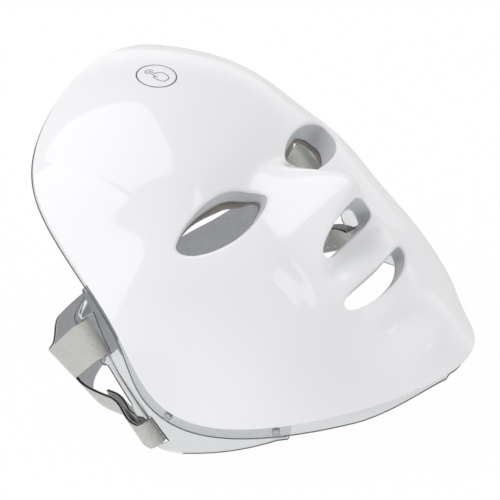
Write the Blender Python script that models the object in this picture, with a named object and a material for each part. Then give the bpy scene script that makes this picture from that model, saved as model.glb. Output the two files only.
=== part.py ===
"""LED face mask with a clear liner, side wings and a two-piece head strap, lying face up.

Sizes are in millimetres in the face frame: X to the wearer's left, Y to the forehead, Z out of the face,
with the origin at eye level. The mask is then pitched to the pose in which it lies on a table.
"""

import math

import bmesh
import bpy
import numpy as np
from mathutils import Matrix, Vector
from mathutils.geometry import delaunay_2d_cdt

MM = 0.001

# Pose on the table: the forehead is raised, and the wings' lower edges stand on z = 0 under the lower bars.
PITCH = math.radians(33.2)
LOWER_BAR_HEIGHT = 6.334

# Rim of the shell, one station every 20 degrees from the forehead round to the chin.
RIM_RADIUS = (97.8, 98.0, 98.3, 91.2, 87.6, 93.4, 103.0, 109.4, 112.5, 118.0)
RIM_LEVEL = (-28.8, -32.0, -39.7, -42.0, -42.4, -49.0, -54.0, -29.2, -10.6, 6.7)
CROWN_LEVEL = 3.2
DOME_POWER = 3.35

# Relief of the face on that dome.
EYE_BAND_DEPTH = 4.8
EYE_BAND_HALF_LENGTH = 62.0
EYE_BAND_HALF_HEIGHT = 14.0
NOSE_HEIGHT = 30.2
NOSE_ROOT_Y = 6.0
NOSE_BOX_SIDE = 6.0
NOSE_BOX_RISE = 8.0
NOSE_TIP_Y = -26.0
NOSE_ROOT_HALF_WIDTH = 11.0
NOSE_BASE_HALF_WIDTH = 24.0
NOSE_RIDGE_RADIUS = 3.2
NOSE_UNDERCUT = 10.5
NOSE_WING_DROP = 9.0
UPPER_LIP_HEIGHT = 6.6
UPPER_LIP_Y = -59.0
UPPER_LIP_HALF_LENGTH = 27.0
UPPER_LIP_HALF_HEIGHT = 8.5
LOWER_LIP_HEIGHT = 2.6
LOWER_LIP_Y = -77.5
LOWER_LIP_HALF_LENGTH = 22.0
LOWER_LIP_HALF_HEIGHT = 6.0
CHIN_HEIGHT = 3.0
CHIN_Y = -101.0
CHIN_HALF_LENGTH = 24.0
CHIN_HALF_HEIGHT = 11.0
CHEEK_HEIGHT = 1.4
CHEEK_X = 58.0
CHEEK_Y = -20.0
CHEEK_RADIUS = 24.0

# Openings in the shell, whose edges turn inwards.
EYE_X = 37.5
EYE_Y = -1.2
EYE_HALF_LENGTH = 24.0
EYE_UPPER_RISE = 10.8
EYE_LOWER_DROP = 10.2
EYE_TILT = 0.14
EYE_LID_INSET = 1.8
EYE_LID_OUTSET = 1.6
EYE_WALL = 7.0
EYE_WALL_OUTER = 11.0
NOSTRIL_Y = -39.3
NOSTRIL_HALF_LENGTH = 20.0
NOSTRIL_HALF_HEIGHT = 5.4
NOSTRIL_BOW = -2.6
NOSTRIL_WALL = 10.0
MOUTH_Y = -67.2
MOUTH_HALF_LENGTH = 25.8
MOUTH_HALF_HEIGHT = 5.1
MOUTH_BOW = 2.6
MOUTH_WALL = 7.5
EDGE_RADIUS = 1.4
WALL_DRAFT = 0.6

# Walls and clearances.
SHELL_WALL = 1.6
LINER_WALL = 1.2
SEAT_GAP = 0.3
LINER_RIM_GAP = 0.6
LINER_CAVITY = 4.6
LINER_NOSE_ROOM = 2.0
LINER_SEAT_WIDTH = 10.0
LINER_HOLE_GAP = 1.5
LINER_LIP = 2.6
JAW_SKIRT = 5.5
JAW_SKIRT_SPAN = (94.0, 110.0)
CHIN_SKIRT = 1.4
CHIN_SKIRT_SPAN = (154.0, 172.0)
SKIRT_NOTCH_HALF = 11.0
GUARD_WALL = 2.2
GUARD_OVERLAP = 6.5
GUARD_LID_INSET = 4.0
GUARD_GAP = 0.6

# Electronics: pod in the forehead, charge socket in the chin, strips of LEDs on the shell's inside.
POD_Y = 66.0
ELECTRODE_DIAMETER = 15.0
ELECTRODE_THICKNESS = 0.6
POST_DIAMETER = 4.0
BOARD_CLEARANCE = 0.6
BOARD_LENGTH = 36.0
BOARD_WIDTH = 24.0
BOARD_THICKNESS = 1.0
BATTERY_LENGTH = 34.0
BATTERY_WIDTH = 22.0
BATTERY_THICKNESS = 4.0
POD_GAP = 0.6
POD_MARGIN = 5.0
POD_EDGE = 6.0
PORT_WIDTH = 9.0
PORT_HEIGHT = 3.2
PORT_LENGTH = 7.3
PORT_WALL = 0.4
PORT_RECESS = 1.2
CHARGE_BOARD_WIDTH = 14.0
CHARGE_BOARD_LENGTH = 17.0
CHARGE_BOARD_THICKNESS = 0.8
STRIP_GAP = 0.9
STRIP_WIDTH = 7.0
STRIP_CLEARANCE = 2.0
FOREHEAD_STRIP_HALF = 40.0
FOREHEAD_STRIP_Y = 31.0
FOREHEAD_STRIP_BOW = 3.0
CHIN_STRIP_HALF = 21.0
CHIN_STRIP_Y = -88.0
CHIN_STRIP_BOW = -2.0
CHEEK_STRIP_INNER_X = (31.0, 33.0)
CHEEK_STRIP_OUTER_X = (70.0, 70.0)
CHEEK_STRIP_INNER_Y = (-22.5, -42.0)
CHEEK_STRIP_OUTER_Y = (-18.5, -40.0)
TEMPLE_STRIP_SPAN = (38.0, 53.0, 68.0)
TEMPLE_STRIP_SHARE = (0.72, 0.73, 0.73)
JAW_STRIP_SPAN = (131.0, 146.0, 160.0)
JAW_STRIP_SHARE = (0.76, 0.77, 0.76)
STRIP_THICKNESS = 0.4
BEAD_SIDE = 3.2
BEAD_HEIGHT = 1.3
BEAD_PITCH = 11.0
LEAD_DIAMETER = 1.4
LEAD_GAP = 0.9
LEAD_END_GAP = 1.2
CHARGE_LEAD_SPAN = (165.0, 22.0)
CHARGE_LEAD_SHARE = 0.865
CHARGE_LEAD_FROM_CHIN = 12.0
CHARGE_LEAD_RISE = 4.0
LED_LEAD_SPAN = (26.0, 150.0)
LED_LEAD_SHARE = 0.82
LED_LEAD_DROP = 6.0

# Side wings and their strap bars.
WING_WALL = 1.5
WING_GAP = 0.9
WING_FROM = 76.0
WING_TO = 141.0
WING_TAPER = 17.0
WING_INNER = 5.0
WING_PAST_LIP = 0.9
UPPER_BAR_AT = (87.8, 11.97)
LOWER_BAR_AT = (115.04, 11.77)
UPPER_FLARE = 0.19
LOWER_FLARE = 0.17
NOTCH_AT = 102.0
NOTCH_REACH = 5.0
NOTCH_SHARE = 0.8
BAR_WIDTH = 4.0
SLOT_WIDTH = 4.4
SLOT_END_GAP = 0.7
SLOT_CUT_DEPTH = 16.0
RIVETS_AT = (116.0, 138.0)
RIVET_HEAD = 3.6
RIVET_HEAD_HEIGHT = 0.5
RIVET_SHANK = 2.4
RIVET_HOLE_GAP = 0.3
RIVET_DROP = 3.0

# Head strap: two halves that open at the back, each with an upper and a lower tail.
STRAP_WALL = 1.6
STRAP_REACH = 45.0
STRAP_SQUARENESS_RIGHT = 5.0
STRAP_SQUARENESS_LEFT = 2.1
STRAP_LEAN = 0.22
STRAP_LEAN_RUN = 16.0
STRAP_END_GAP = 1.5
UPPER_TAIL_WIDTH = 18.0
LOWER_TAIL_WIDTH = 12.0
BACK_BAND_WIDTH_RIGHT = 31.0
BACK_BAND_WIDTH_LEFT = 23.0
TAIL_TAPER = 0.5
BAND_FLARE_FROM = 7.0
BAND_FLARE_RUN = 18.0
TAIL_TURN_GAP = 0.35
TAIL_RETURN = 22.0
TAIL_MERGE = 34.0
TAB_WALL = 1.2
TAB_FROM = 10.0
TAB_INSET = 1.0
HOOK_PATCH_INSET = 3.0
HOOK_PATCH_LENGTH = 24.0
HOOK_PATCH_WALL = 1.0

# Mesh fineness.
RIM_POINTS = 96
HOLE_POINTS = 26
FIELD_PITCH = 11.0
NOSE_PITCH = 5.5

for old in list(bpy.data.objects):
    bpy.data.objects.remove(old, do_unlink=True)


def material(name, colour, roughness, metallic=0.0, alpha=1.0):
    made = bpy.data.materials.new(name)
    made.use_nodes = True
    shader = made.node_tree.nodes["Principled BSDF"]
    shader.inputs["Base Color"].default_value = (*colour, 1.0)
    shader.inputs["Roughness"].default_value = roughness
    shader.inputs["Metallic"].default_value = metallic
    shader.inputs["Alpha"].default_value = alpha
    return made


WHITE = material("white_shell", (0.90, 0.90, 0.91), 0.12)
CLEAR = material("clear_plastic", (0.86, 0.88, 0.89), 0.06, alpha=0.35)
SOFT = material("eye_guard", (0.42, 0.39, 0.38), 0.55)
FLEX = material("flex_strip", (0.88, 0.88, 0.84), 0.45)
BOARD = material("circuit_board", (0.03, 0.16, 0.08), 0.4)
POUCH = material("battery_pouch", (0.62, 0.63, 0.65), 0.3, 0.8)
METAL = material("steel", (0.70, 0.71, 0.72), 0.25, 1.0)
WIRE = material("wire", (0.05, 0.05, 0.05), 0.5)
FABRIC = material("strap_fabric", (0.57, 0.58, 0.56), 0.85)
HOOK = material("hook_tape", (0.45, 0.46, 0.45), 0.9)


def smooth(t):
    t = np.clip(t, 0.0, 1.0)
    return t * t * (3.0 - 2.0 * t)


# Face: a dome over the rim curve, with the relief added to it
def rim_terms(stations):
    angle = np.linspace(0.0, math.pi, len(stations))
    order = np.arange(len(stations))
    return np.linalg.solve(np.cos(np.outer(angle, order)), np.array(stations))


RADIUS_TERMS = rim_terms(RIM_RADIUS)
LEVEL_TERMS = rim_terms(RIM_LEVEL)


def rim_value(terms, angle):
    order = np.arange(len(terms))
    return np.tensordot(terms, np.cos(np.multiply.outer(order, angle)), 1)


def dome(x, y):
    angle = np.arctan2(np.abs(x), y)
    share = np.hypot(x, y) / rim_value(RADIUS_TERMS, angle)
    level = rim_value(LEVEL_TERMS, angle)
    return level + (CROWN_LEVEL - level) * (1.0 - share**DOME_POWER)


def mound(x, y, height, centre_y, half_length, half_height):
    return height * np.exp(-((x / half_length) ** 4) - ((y - centre_y) / half_height) ** 2)


def relief(x, y):
    across = np.abs(x)
    total = mound(x, y, -EYE_BAND_DEPTH, 0.0, EYE_BAND_HALF_LENGTH, EYE_BAND_HALF_HEIGHT)
    total += mound(x, y, UPPER_LIP_HEIGHT, UPPER_LIP_Y, UPPER_LIP_HALF_LENGTH, UPPER_LIP_HALF_HEIGHT)
    total += mound(x, y, LOWER_LIP_HEIGHT, LOWER_LIP_Y, LOWER_LIP_HALF_LENGTH, LOWER_LIP_HALF_HEIGHT)
    total += mound(x, y, CHIN_HEIGHT, CHIN_Y, CHIN_HALF_LENGTH, CHIN_HALF_HEIGHT)
    total += CHEEK_HEIGHT * np.exp(-((across - CHEEK_X) ** 2 + (y - CHEEK_Y) ** 2) / CHEEK_RADIUS**2)
    along = (NOSE_ROOT_Y - y) / (NOSE_ROOT_Y - NOSE_TIP_Y)
    along = 0.5 * (along + np.sqrt(along**2 + 0.006))
    along = 0.5 * (along + 1.0 - np.sqrt((along - 1.0) ** 2 + 0.012))
    ridge = NOSE_HEIGHT * np.maximum(along, 0.0) ** 0.8
    half_width = NOSE_ROOT_HALF_WIDTH + (NOSE_BASE_HALF_WIDTH - NOSE_ROOT_HALF_WIDTH) * along
    fall = 1.0 - (np.hypot(across, NOSE_RIDGE_RADIUS) - NOSE_RIDGE_RADIUS) / half_width
    fall = 0.5 * (fall + np.sqrt(fall**2 + 0.012))
    below = np.maximum(0.0, NOSE_TIP_Y - y - NOSE_WING_DROP * (across / NOSTRIL_HALF_LENGTH) ** 2)
    return total + ridge * fall / (1.0 + (below / NOSE_UNDERCUT) ** 4)


def place(points, depth=0.0, carried=None):
    """Face-frame points at a depth under the outer skin, which lies over the given (x, y) points."""
    x, y = np.asarray(points, float).T
    step = 0.25
    slope_x = (dome(x + step, y) - dome(x - step, y)) / (2 * step)
    slope_y = (dome(x, y + step) - dome(x, y - step)) / (2 * step)
    drop = depth / np.sqrt(1.0 + slope_x**2 + slope_y**2)
    over_x, over_y = (x, y) if carried is None else np.asarray(carried, float).T
    level = dome(x, y) - drop + relief(over_x, over_y)
    return np.stack([x + slope_x * drop, y + slope_y * drop, level], axis=1)


def to_world(points):
    """Face frame to the table's frame, in millimetres."""
    x, y, z = np.asarray(points, float).T
    turned_y = y * math.cos(PITCH) - z * math.sin(PITCH) + FRAME_SHIFT
    return np.stack([x, turned_y, y * math.sin(PITCH) + z * math.cos(PITCH) + EYE_LEVEL_HEIGHT], axis=1)


# Outlines in the face's (x, y), counter-clockwise
def rim_loop(count, beyond=None, inward=0.0):
    angle = 2 * math.pi * (np.arange(count) + 0.5) / count
    folded = np.minimum(angle, 2 * math.pi - angle)
    radius = rim_value(RADIUS_TERMS, folded)
    if beyond is not None:
        slope = (CROWN_LEVEL - rim_value(LEVEL_TERMS, folded)) * DOME_POWER / radius
        radius = radius + beyond(np.degrees(folded)) / np.hypot(1.0, slope)
    radius = radius - inward
    return np.stack([-radius * np.sin(angle), radius * np.cos(angle)], axis=1)


def oval(count, power):
    turn = 2 * math.pi * np.arange(count) / count
    across = np.sign(np.cos(turn)) * np.abs(np.cos(turn)) ** (2 / power)
    return across, np.sign(np.sin(turn)) * np.abs(np.sin(turn)) ** (2 / power)


def eye_outline(count, side):
    across, up = oval(count, 2.0)
    rise = np.where(up > 0, EYE_UPPER_RISE * (1 - 0.26 * across), EYE_LOWER_DROP * (1 + 0.17 * across))
    x = EYE_X + EYE_HALF_LENGTH * across
    loop = np.stack([side * x, EYE_Y + EYE_TILT * (x - EYE_X) + rise * up], axis=1)
    return loop if side > 0 else loop[::-1]


def nostril_outline(count):
    across, up = oval(count, 2.3)
    middle = NOSTRIL_Y + NOSTRIL_BOW * across**2
    return np.stack([NOSTRIL_HALF_LENGTH * across, middle + NOSTRIL_HALF_HEIGHT * up], axis=1)


def mouth_outline(count):
    across, up = oval(count, 2.6)
    middle = MOUTH_Y + MOUTH_BOW * across**2
    return np.stack([MOUTH_HALF_LENGTH * across, middle + MOUTH_HALF_HEIGHT * up], axis=1)


def outward(loop):
    along = np.roll(loop, -1, axis=0) - np.roll(loop, 1, axis=0)
    normal = np.stack([along[:, 1], -along[:, 0]], axis=1)
    return normal / np.linalg.norm(normal, axis=1, keepdims=True)


def offset(loop, distance):
    return loop + outward(loop) * np.reshape(distance, (-1, 1))


def lid(loop, upper_inset):
    """The eye wall's lower edge, drawn in under the brow."""
    normal = outward(loop)
    return loop - normal * (WALL_DRAFT + np.reshape(upper_inset, (-1, 1)) * smooth(normal[:, 1:2]))


def nose_share(loop):
    """1 at an eye's nose side, falling to 0 at its outer corner."""
    return smooth((0.75 - (np.abs(loop[:, 0]) - EYE_X) / EYE_HALF_LENGTH) / 1.1)


EYES = [eye_outline(HOLE_POINTS, side) for side in (-1, 1)]
NOSTRIL = nostril_outline(HOLE_POINTS + 4)
MOUTH = mouth_outline(HOLE_POINTS)
HOLES = []
for loop in EYES:
    share = nose_share(loop)
    HOLES.append((loop, EYE_WALL_OUTER + (EYE_WALL - EYE_WALL_OUTER) * share, EYE_LID_INSET * share - EYE_LID_OUTSET * (1 - share)))
HOLES += [(NOSTRIL, NOSTRIL_WALL, 0.0), (MOUTH, MOUTH_WALL, 0.0)]


def inside(points, loop):
    x, y = points[:, :1], points[:, 1:]
    x0, y0 = loop.T
    x1, y1 = np.roll(loop, -1, axis=0).T
    crossing = (y0 > y) != (y1 > y)
    reach = x0 + (y - y0) * (x1 - x0) / np.where(y1 == y0, 1e-9, y1 - y0)
    return (crossing & (x < reach)).sum(axis=1) % 2 == 1


def lattice(pitch):
    rows = np.arange(-140.0, 140.0, pitch * 0.866)
    points = []
    for number, y in enumerate(rows):
        for x in np.arange(-120.0, 120.0, pitch) + 0.5 * pitch * (number % 2):
            points.append((x, y))
    return np.array(points)


def in_boxes(points, boxes):
    found = np.zeros(len(points), bool)
    for half, low, high in boxes:
        found |= (np.abs(points[:, 0]) < half) & (points[:, 1] > low) & (points[:, 1] < high)
    return found


def field_points(loops, boxes):
    """Rings along the rim, and lattice points, closer together in the boxes (half width, lowest y, highest y)."""
    coarse = lattice(FIELD_PITCH)
    fine = lattice(NOSE_PITCH)
    kept = [rim_loop(RIM_POINTS, inward=share * LINER_SEAT_WIDTH) for share in (0.45, 1.0)]
    loops = [*loops, *kept]
    for points, pitch in (
        (coarse[~in_boxes(coarse, boxes)], FIELD_PITCH),
        (fine[in_boxes(fine, boxes)], NOSE_PITCH),
    ):
        points = points[inside(points, kept[1])]
        for hole in loops[1:-2]:
            points = points[~inside(points, hole)]
        for loop in loops:
            apart = np.linalg.norm(points[:, None] - loop[None], axis=2).min(axis=1)
            points = points[apart > 0.62 * pitch]
        kept.append(points)
    return np.concatenate(kept)


def skin(loops, boxes):
    """Triangles over the first loop less the others: (points, triangles), with the loops' points first."""
    points = np.concatenate([*loops, field_points(loops, boxes)])
    edges = []
    start = 0
    for loop in loops:
        count = len(loop)
        edges += [(start + k, start + (k + 1) % count) for k in range(count)]
        start += count
    found = delaunay_2d_cdt([Vector(p) for p in points], edges, [], 0, 1e-6)
    source = [ids[0] for ids in found[3]]
    triangles = np.array([[source[v] for v in face] for face in found[2]])
    middle = points[triangles].mean(axis=1)
    wanted = inside(middle, loops[0])
    for hole in loops[1:]:
        wanted &= ~inside(middle, hole)
    return points, triangles[wanted]


class Surface:
    """Collects rings and sheets of points into one mesh."""

    def __init__(self):
        self.points = []
        self.faces = []

    def add(self, points):
        start = len(self.points)
        self.points += [tuple(p) for p in points]
        return list(range(start, start + len(points)))

    def bridge(self, first, second):
        count = len(first)
        for k in range(count):
            after = (k + 1) % count
            self.faces.append((first[k], first[after], second[after], second[k]))


ROOT = bpy.data.objects.new("mask_frame", None)
bpy.context.scene.collection.objects.link(ROOT)


def make(name, points, faces, look, parent=None, smooth_angle=40.0):
    """An object from millimetre points in its parent's frame."""
    mesh = bpy.data.meshes.new(name)
    mesh.from_pydata([Vector(p) * MM for p in points], [], faces)
    shaped = bmesh.new()
    shaped.from_mesh(mesh)
    bmesh.ops.recalc_face_normals(shaped, faces=shaped.faces)
    shaped.to_mesh(mesh)
    shaped.free()
    mesh.shade_smooth()
    mesh.set_sharp_from_angle(angle=math.radians(smooth_angle))
    mesh.materials.append(look)
    made = bpy.data.objects.new(name, mesh)
    bpy.context.scene.collection.objects.link(made)
    made.parent = parent
    return made


def cut(target, cutter):
    cutter.hide_render = True
    cutter.display_type = "WIRE"
    boolean = target.modifiers.new("cut", "BOOLEAN")
    boolean.operation = "DIFFERENCE"
    boolean.solver = "EXACT"
    boolean.object = cutter


# Liner depth: close to the shell at the rim, deeper inside, with flat pods for the battery and the charge socket
CHIN_REACH = float(rim_value(RADIUS_TERMS, np.array(math.pi)))
POD = (0.0, POD_Y)
PORT_AT = (0.0, -CHIN_REACH + PORT_RECESS + PORT_LENGTH / 2)


def above_plane(points, centre):
    """Height of the outer skin over its tangent plane at the centre."""
    middle = place([centre])[0]
    normal = middle - place([centre], 1.0)[0]
    return (place(points) - middle) @ normal


def sag(centre, half_x, half_y):
    corners = [(centre[0] + a * half_x, centre[1] + b * half_y) for a in (-1, 0, 1) for b in (-1, 0, 1)]
    return -above_plane(corners, centre).min()


ELECTRODE_DEPTH = SHELL_WALL + SEAT_GAP + sag(POD, ELECTRODE_DIAMETER / 2, ELECTRODE_DIAMETER / 2)
BOARD_DEPTH = SHELL_WALL + BOARD_CLEARANCE + sag(POD, BOARD_LENGTH / 2, BOARD_WIDTH / 2)
POST_LENGTH = BOARD_DEPTH - ELECTRODE_DEPTH - ELECTRODE_THICKNESS - SEAT_GAP
BATTERY_DEPTH = BOARD_DEPTH + BOARD_THICKNESS + SEAT_GAP
POD_DEPTH = BATTERY_DEPTH + BATTERY_THICKNESS + POD_GAP
PORT_DEPTH = SHELL_WALL + SEAT_GAP + sag(PORT_AT, PORT_WIDTH / 2, PORT_LENGTH / 2)
CHARGE_BOARD_DEPTH = PORT_DEPTH + PORT_HEIGHT + SEAT_GAP
CHIN_POD_DEPTH = CHARGE_BOARD_DEPTH + CHARGE_BOARD_THICKNESS + POD_GAP


def plateau(distance, half, edge):
    return smooth((half + edge - np.abs(distance)) / edge)


def liner_depth(points):
    x, y = points.T
    radius = rim_value(RADIUS_TERMS, np.arctan2(np.abs(x), y))
    inward = np.clip((radius - np.hypot(x, y)) / LINER_SEAT_WIDTH, 0.0, 1.0)
    depth = SHELL_WALL + LINER_RIM_GAP + (LINER_CAVITY - SHELL_WALL - LINER_RIM_GAP) * inward
    depth = depth + LINER_NOSE_ROOM * np.exp(-(x**2 + (y - NOSE_TIP_Y) ** 2) / NOSE_BASE_HALF_WIDTH**2)
    pod = plateau(x, BOARD_LENGTH / 2 + POD_MARGIN, POD_EDGE)
    pod = pod * plateau(y - POD_Y, BOARD_WIDTH / 2 + POD_MARGIN, POD_EDGE)
    chin = plateau(x, CHARGE_BOARD_WIDTH / 2 + POD_MARGIN, POD_EDGE)
    chin = chin * smooth((CHARGE_BOARD_LENGTH + POD_MARGIN + POD_EDGE - CHIN_REACH - y) / POD_EDGE)
    pod_floor = POD_DEPTH + above_plane(points, POD)
    chin_floor = CHIN_POD_DEPTH + above_plane(points, PORT_AT)
    depth = depth + np.maximum(0.0, pod_floor - depth) * pod
    return depth + np.maximum(0.0, chin_floor - depth) * chin


def rise(degrees, span):
    return smooth((degrees - span[0]) / (span[1] - span[0]))


def skirt(degrees):
    chin = rise(degrees, CHIN_SKIRT_SPAN)
    jaw = rise(degrees, JAW_SKIRT_SPAN) * (1.0 - chin)
    reach = LINER_LIP * (1 - jaw - chin) + JAW_SKIRT * jaw + CHIN_SKIRT * chin
    notch = 180.0 - math.degrees(SKIRT_NOTCH_HALF / CHIN_REACH)
    return np.where(degrees > notch, 0.0, reach)


FRAME_SHIFT = EYE_LEVEL_HEIGHT = 0.0
edge = to_world(np.concatenate([place(rim_loop(360, skirt), SHELL_WALL + LINER_RIM_GAP), place(rim_loop(360))]))
FRAME_SHIFT = -0.5 * (edge[:, 1].min() + edge[:, 1].max())
ROOT.rotation_euler = (PITCH, 0.0, 0.0)

NOSE_BOX = (NOSE_BASE_HALF_WIDTH + NOSE_BOX_SIDE, LOWER_LIP_Y - LOWER_LIP_HALF_HEIGHT, NOSE_ROOT_Y + NOSE_BOX_RISE)

# Outer shell: outer skin, turned-in walls round the openings, inner skin
shell = Surface()
rim = rim_loop(RIM_POINTS)
outer_loops = [rim] + [offset(loop, EDGE_RADIUS) for loop, _, _ in HOLES]
inner_loops = [rim] + [offset(loop, EDGE_RADIUS + SHELL_WALL) for loop, _, _ in HOLES]
for loops, depth in ((outer_loops, 0.0), (inner_loops, SHELL_WALL)):
    points, triangles = skin(loops, [NOSE_BOX])
    first = shell.add(place(points, depth))[0]
    shell.faces += [tuple(int(v) + first for v in t) for t in triangles]
    if depth == 0.0:
        outer_start = first
    else:
        inner_start = first
shell.bridge(range(outer_start, outer_start + RIM_POINTS), range(inner_start, inner_start + RIM_POINTS))
at = RIM_POINTS
for loop, wall, inset in HOLES:
    count = len(loop)
    ring = list(range(outer_start + at, outer_start + at + count))
    for turn in (math.radians(40.0), math.radians(90.0)):
        drawn = offset(loop, EDGE_RADIUS * (1 - math.sin(turn)))
        after = shell.add(place(drawn, EDGE_RADIUS * (1 - math.cos(turn)), drawn))
        shell.bridge(ring, after)
        ring = after
    foot = lid(loop, inset)
    for drawn in (foot, offset(foot, SHELL_WALL)):
        after = shell.add(place(drawn, wall, loop))
        shell.bridge(ring, after)
        ring = after
    shell.bridge(ring, list(range(inner_start + at, inner_start + at + count)))
    at += count
outer_shell = make("outer_shell", shell.points, shell.faces, WHITE, ROOT)

# Inner liner: a clear shell behind, whose lip and jaw skirt reach past the white rim
liner = Surface()
liner_loops = [rim_loop(RIM_POINTS, skirt)]
liner_loops += [offset(loop, SHELL_WALL + LINER_HOLE_GAP) for loop, _, _ in HOLES]
pod_half = BOARD_LENGTH / 2 + POD_MARGIN + POD_EDGE
pod_rise = BOARD_WIDTH / 2 + POD_MARGIN + POD_EDGE
POD_BOX = (pod_half + 2.0, POD_Y - pod_rise - 2.0, POD_Y + pod_rise + 2.0)
CHIN_BOX = (
    CHARGE_BOARD_WIDTH / 2 + POD_MARGIN + POD_EDGE + 2.0,
    -2 * CHIN_REACH,
    -CHIN_REACH + CHARGE_BOARD_LENGTH + POD_MARGIN + POD_EDGE + 2.0,
)
points, triangles = skin(liner_loops, [NOSE_BOX, POD_BOX, CHIN_BOX])
depths = liner_depth(points)
starts = []
for extra in (0.0, LINER_WALL):
    first = liner.add(place(points, depths + extra))[0]
    liner.faces += [tuple(int(v) + first for v in t) for t in triangles]
    starts.append(first)
at = 0
for loop in liner_loops:
    rings = [range(start + at, start + at + len(loop)) for start in starts]
    liner.bridge(*rings)
    at += len(loop)
inner_liner = make("inner_liner", liner.points, liner.faces, CLEAR, ROOT)

# Eye guards: soft rings under the eye walls
for (loop, wall, _), side in zip(HOLES, ("right", "left")):
    guard = Surface()
    foot = lid(loop, GUARD_LID_INSET * nose_share(loop) - EYE_LID_OUTSET * (1 - nose_share(loop)))
    top = GUARD_GAP + wall
    rings = []
    for drawn, depth in (
        (foot, top),
        (offset(foot, GUARD_OVERLAP), top),
        (offset(foot, GUARD_OVERLAP), top + GUARD_WALL),
        (foot, top + GUARD_WALL),
    ):
        rings.append(guard.add(place(drawn, depth, loop)))
    for k in range(4):
        guard.bridge(rings[k], rings[(k + 1) % 4])
    make("eye_guard_" + side, guard.points, guard.faces, SOFT, ROOT)


# LED strips: flexible ribbons under the shell, with a square bead every pitch
def strip_path(start, end, through=None):
    def at(share):
        share = np.asarray(share)[:, None]
        straight = np.array(start) * (1 - share) + np.array(end) * share
        if through is None:
            return straight
        bulge = np.array(through) - 0.5 * (np.array(start) + np.array(end))
        return straight + 4 * share * (1 - share) * bulge

    return at


def polar(degrees, share):
    angle = math.radians(degrees)
    radius = share * float(rim_value(RADIUS_TERMS, np.array(angle)))
    return radius * math.sin(angle), radius * math.cos(angle)


def led_strip(name, path):
    fine = path(np.linspace(0, 1, 60))
    length = np.linalg.norm(np.diff(fine, axis=0), axis=1).sum()
    beads = max(2, int(length // BEAD_PITCH))
    half = 0.5 * BEAD_SIDE / length
    stops = [0.0]
    for k in range(beads):
        middle = (k + 0.5) / beads
        stops += [middle - half, middle + half]
    stops = np.array(stops + [1.0])
    centre = path(stops)
    ahead = path(stops + 0.01) - path(stops - 0.01)
    across = np.stack([-ahead[:, 1], ahead[:, 0]], axis=1)
    across /= np.linalg.norm(across, axis=1, keepdims=True)
    top = SHELL_WALL + STRIP_GAP
    low = top + STRIP_THICKNESS
    columns = (-STRIP_WIDTH / 2, -BEAD_SIDE / 2, BEAD_SIDE / 2, STRIP_WIDTH / 2)
    ribbon = Surface()
    upper = [ribbon.add(place(centre + across * c, top)) for c in (columns[0], columns[3])]
    under = [ribbon.add(place(centre + across * c, low)) for c in columns]
    last = len(stops) - 1
    for k in range(last):
        ribbon.faces.append((upper[0][k], upper[0][k + 1], upper[1][k + 1], upper[1][k]))
        ribbon.faces.append((upper[0][k], upper[0][k + 1], under[0][k + 1], under[0][k]))
        ribbon.faces.append((upper[1][k], upper[1][k + 1], under[3][k + 1], under[3][k]))
        for c in range(3):
            cell = (under[c][k], under[c][k + 1], under[c + 1][k + 1], under[c + 1][k])
            if c == 1 and k % 2 == 1:
                flat = np.array([ribbon.points[v] for v in cell])
                normal = np.cross(flat[1] - flat[0], flat[3] - flat[0])
                normal *= -np.sign(normal[2]) * BEAD_HEIGHT / np.linalg.norm(normal)
                bead = ribbon.add(flat + normal)
                ribbon.bridge(cell, bead)
                ribbon.faces.append(tuple(bead))
            else:
                ribbon.faces.append(cell)
    for k in (0, last):
        ribbon.faces.append((upper[0][k], *(under[c][k] for c in range(4)), upper[1][k]))
    return make(name, ribbon.points, ribbon.faces, FLEX, ROOT)


def bowed_strip(name, half, level, bow):
    led_strip(name, strip_path((-half, level), (half, level), (0.0, level + bow)))


def rim_path(span, share, flip):
    start, middle, end = [np.array(polar(d, s)) * flip for d, s in zip(span, share)]
    return strip_path(start, end, middle)


def short_of(start, end, other):
    """Where a strip that runs from start to end stops to stay clear of another strip."""
    run = start + (end - start) * np.linspace(0, 1, 400)[:, None]
    apart = np.linalg.norm(run[:, None] - other(np.linspace(0, 1, 60))[None], axis=2).min(axis=1)
    clear = apart >= STRIP_WIDTH + STRIP_CLEARANCE
    return end if clear.all() else run[np.argmin(clear)]


bowed_strip("led_strip_forehead", FOREHEAD_STRIP_HALF, FOREHEAD_STRIP_Y, FOREHEAD_STRIP_BOW)
bowed_strip("led_strip_chin", CHIN_STRIP_HALF, CHIN_STRIP_Y, CHIN_STRIP_BOW)
for side, word in ((-1, "right"), (1, "left")):
    flip = np.array([side, 1.0])
    led_strip("led_strip_temple_" + word, rim_path(TEMPLE_STRIP_SPAN, TEMPLE_STRIP_SHARE, flip))
    jaw = rim_path(JAW_STRIP_SPAN, JAW_STRIP_SHARE, flip)
    for k, level in enumerate(("upper", "lower")):
        start = np.array((CHEEK_STRIP_INNER_X[k], CHEEK_STRIP_INNER_Y[k])) * flip
        end = np.array((CHEEK_STRIP_OUTER_X[k], CHEEK_STRIP_OUTER_Y[k])) * flip
        led_strip("led_strip_cheek_%s_%s" % (level, word), strip_path(start, short_of(start, end, jaw)))
    led_strip("led_strip_jaw_" + word, jaw)


# Boards, battery and port stand square to the skin at their place
def standing(centre, depth):
    middle = place([centre], depth)[0]
    over = place([centre], 0.0)[0]
    normal = Vector(over - middle).normalized()
    across = Vector((1.0, 0.0, 0.0))
    along = normal.cross(across).normalized()
    turn = Matrix((across, along, normal)).transposed()
    return Matrix.Translation(Vector(middle) * MM) @ turn.to_4x4()


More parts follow.
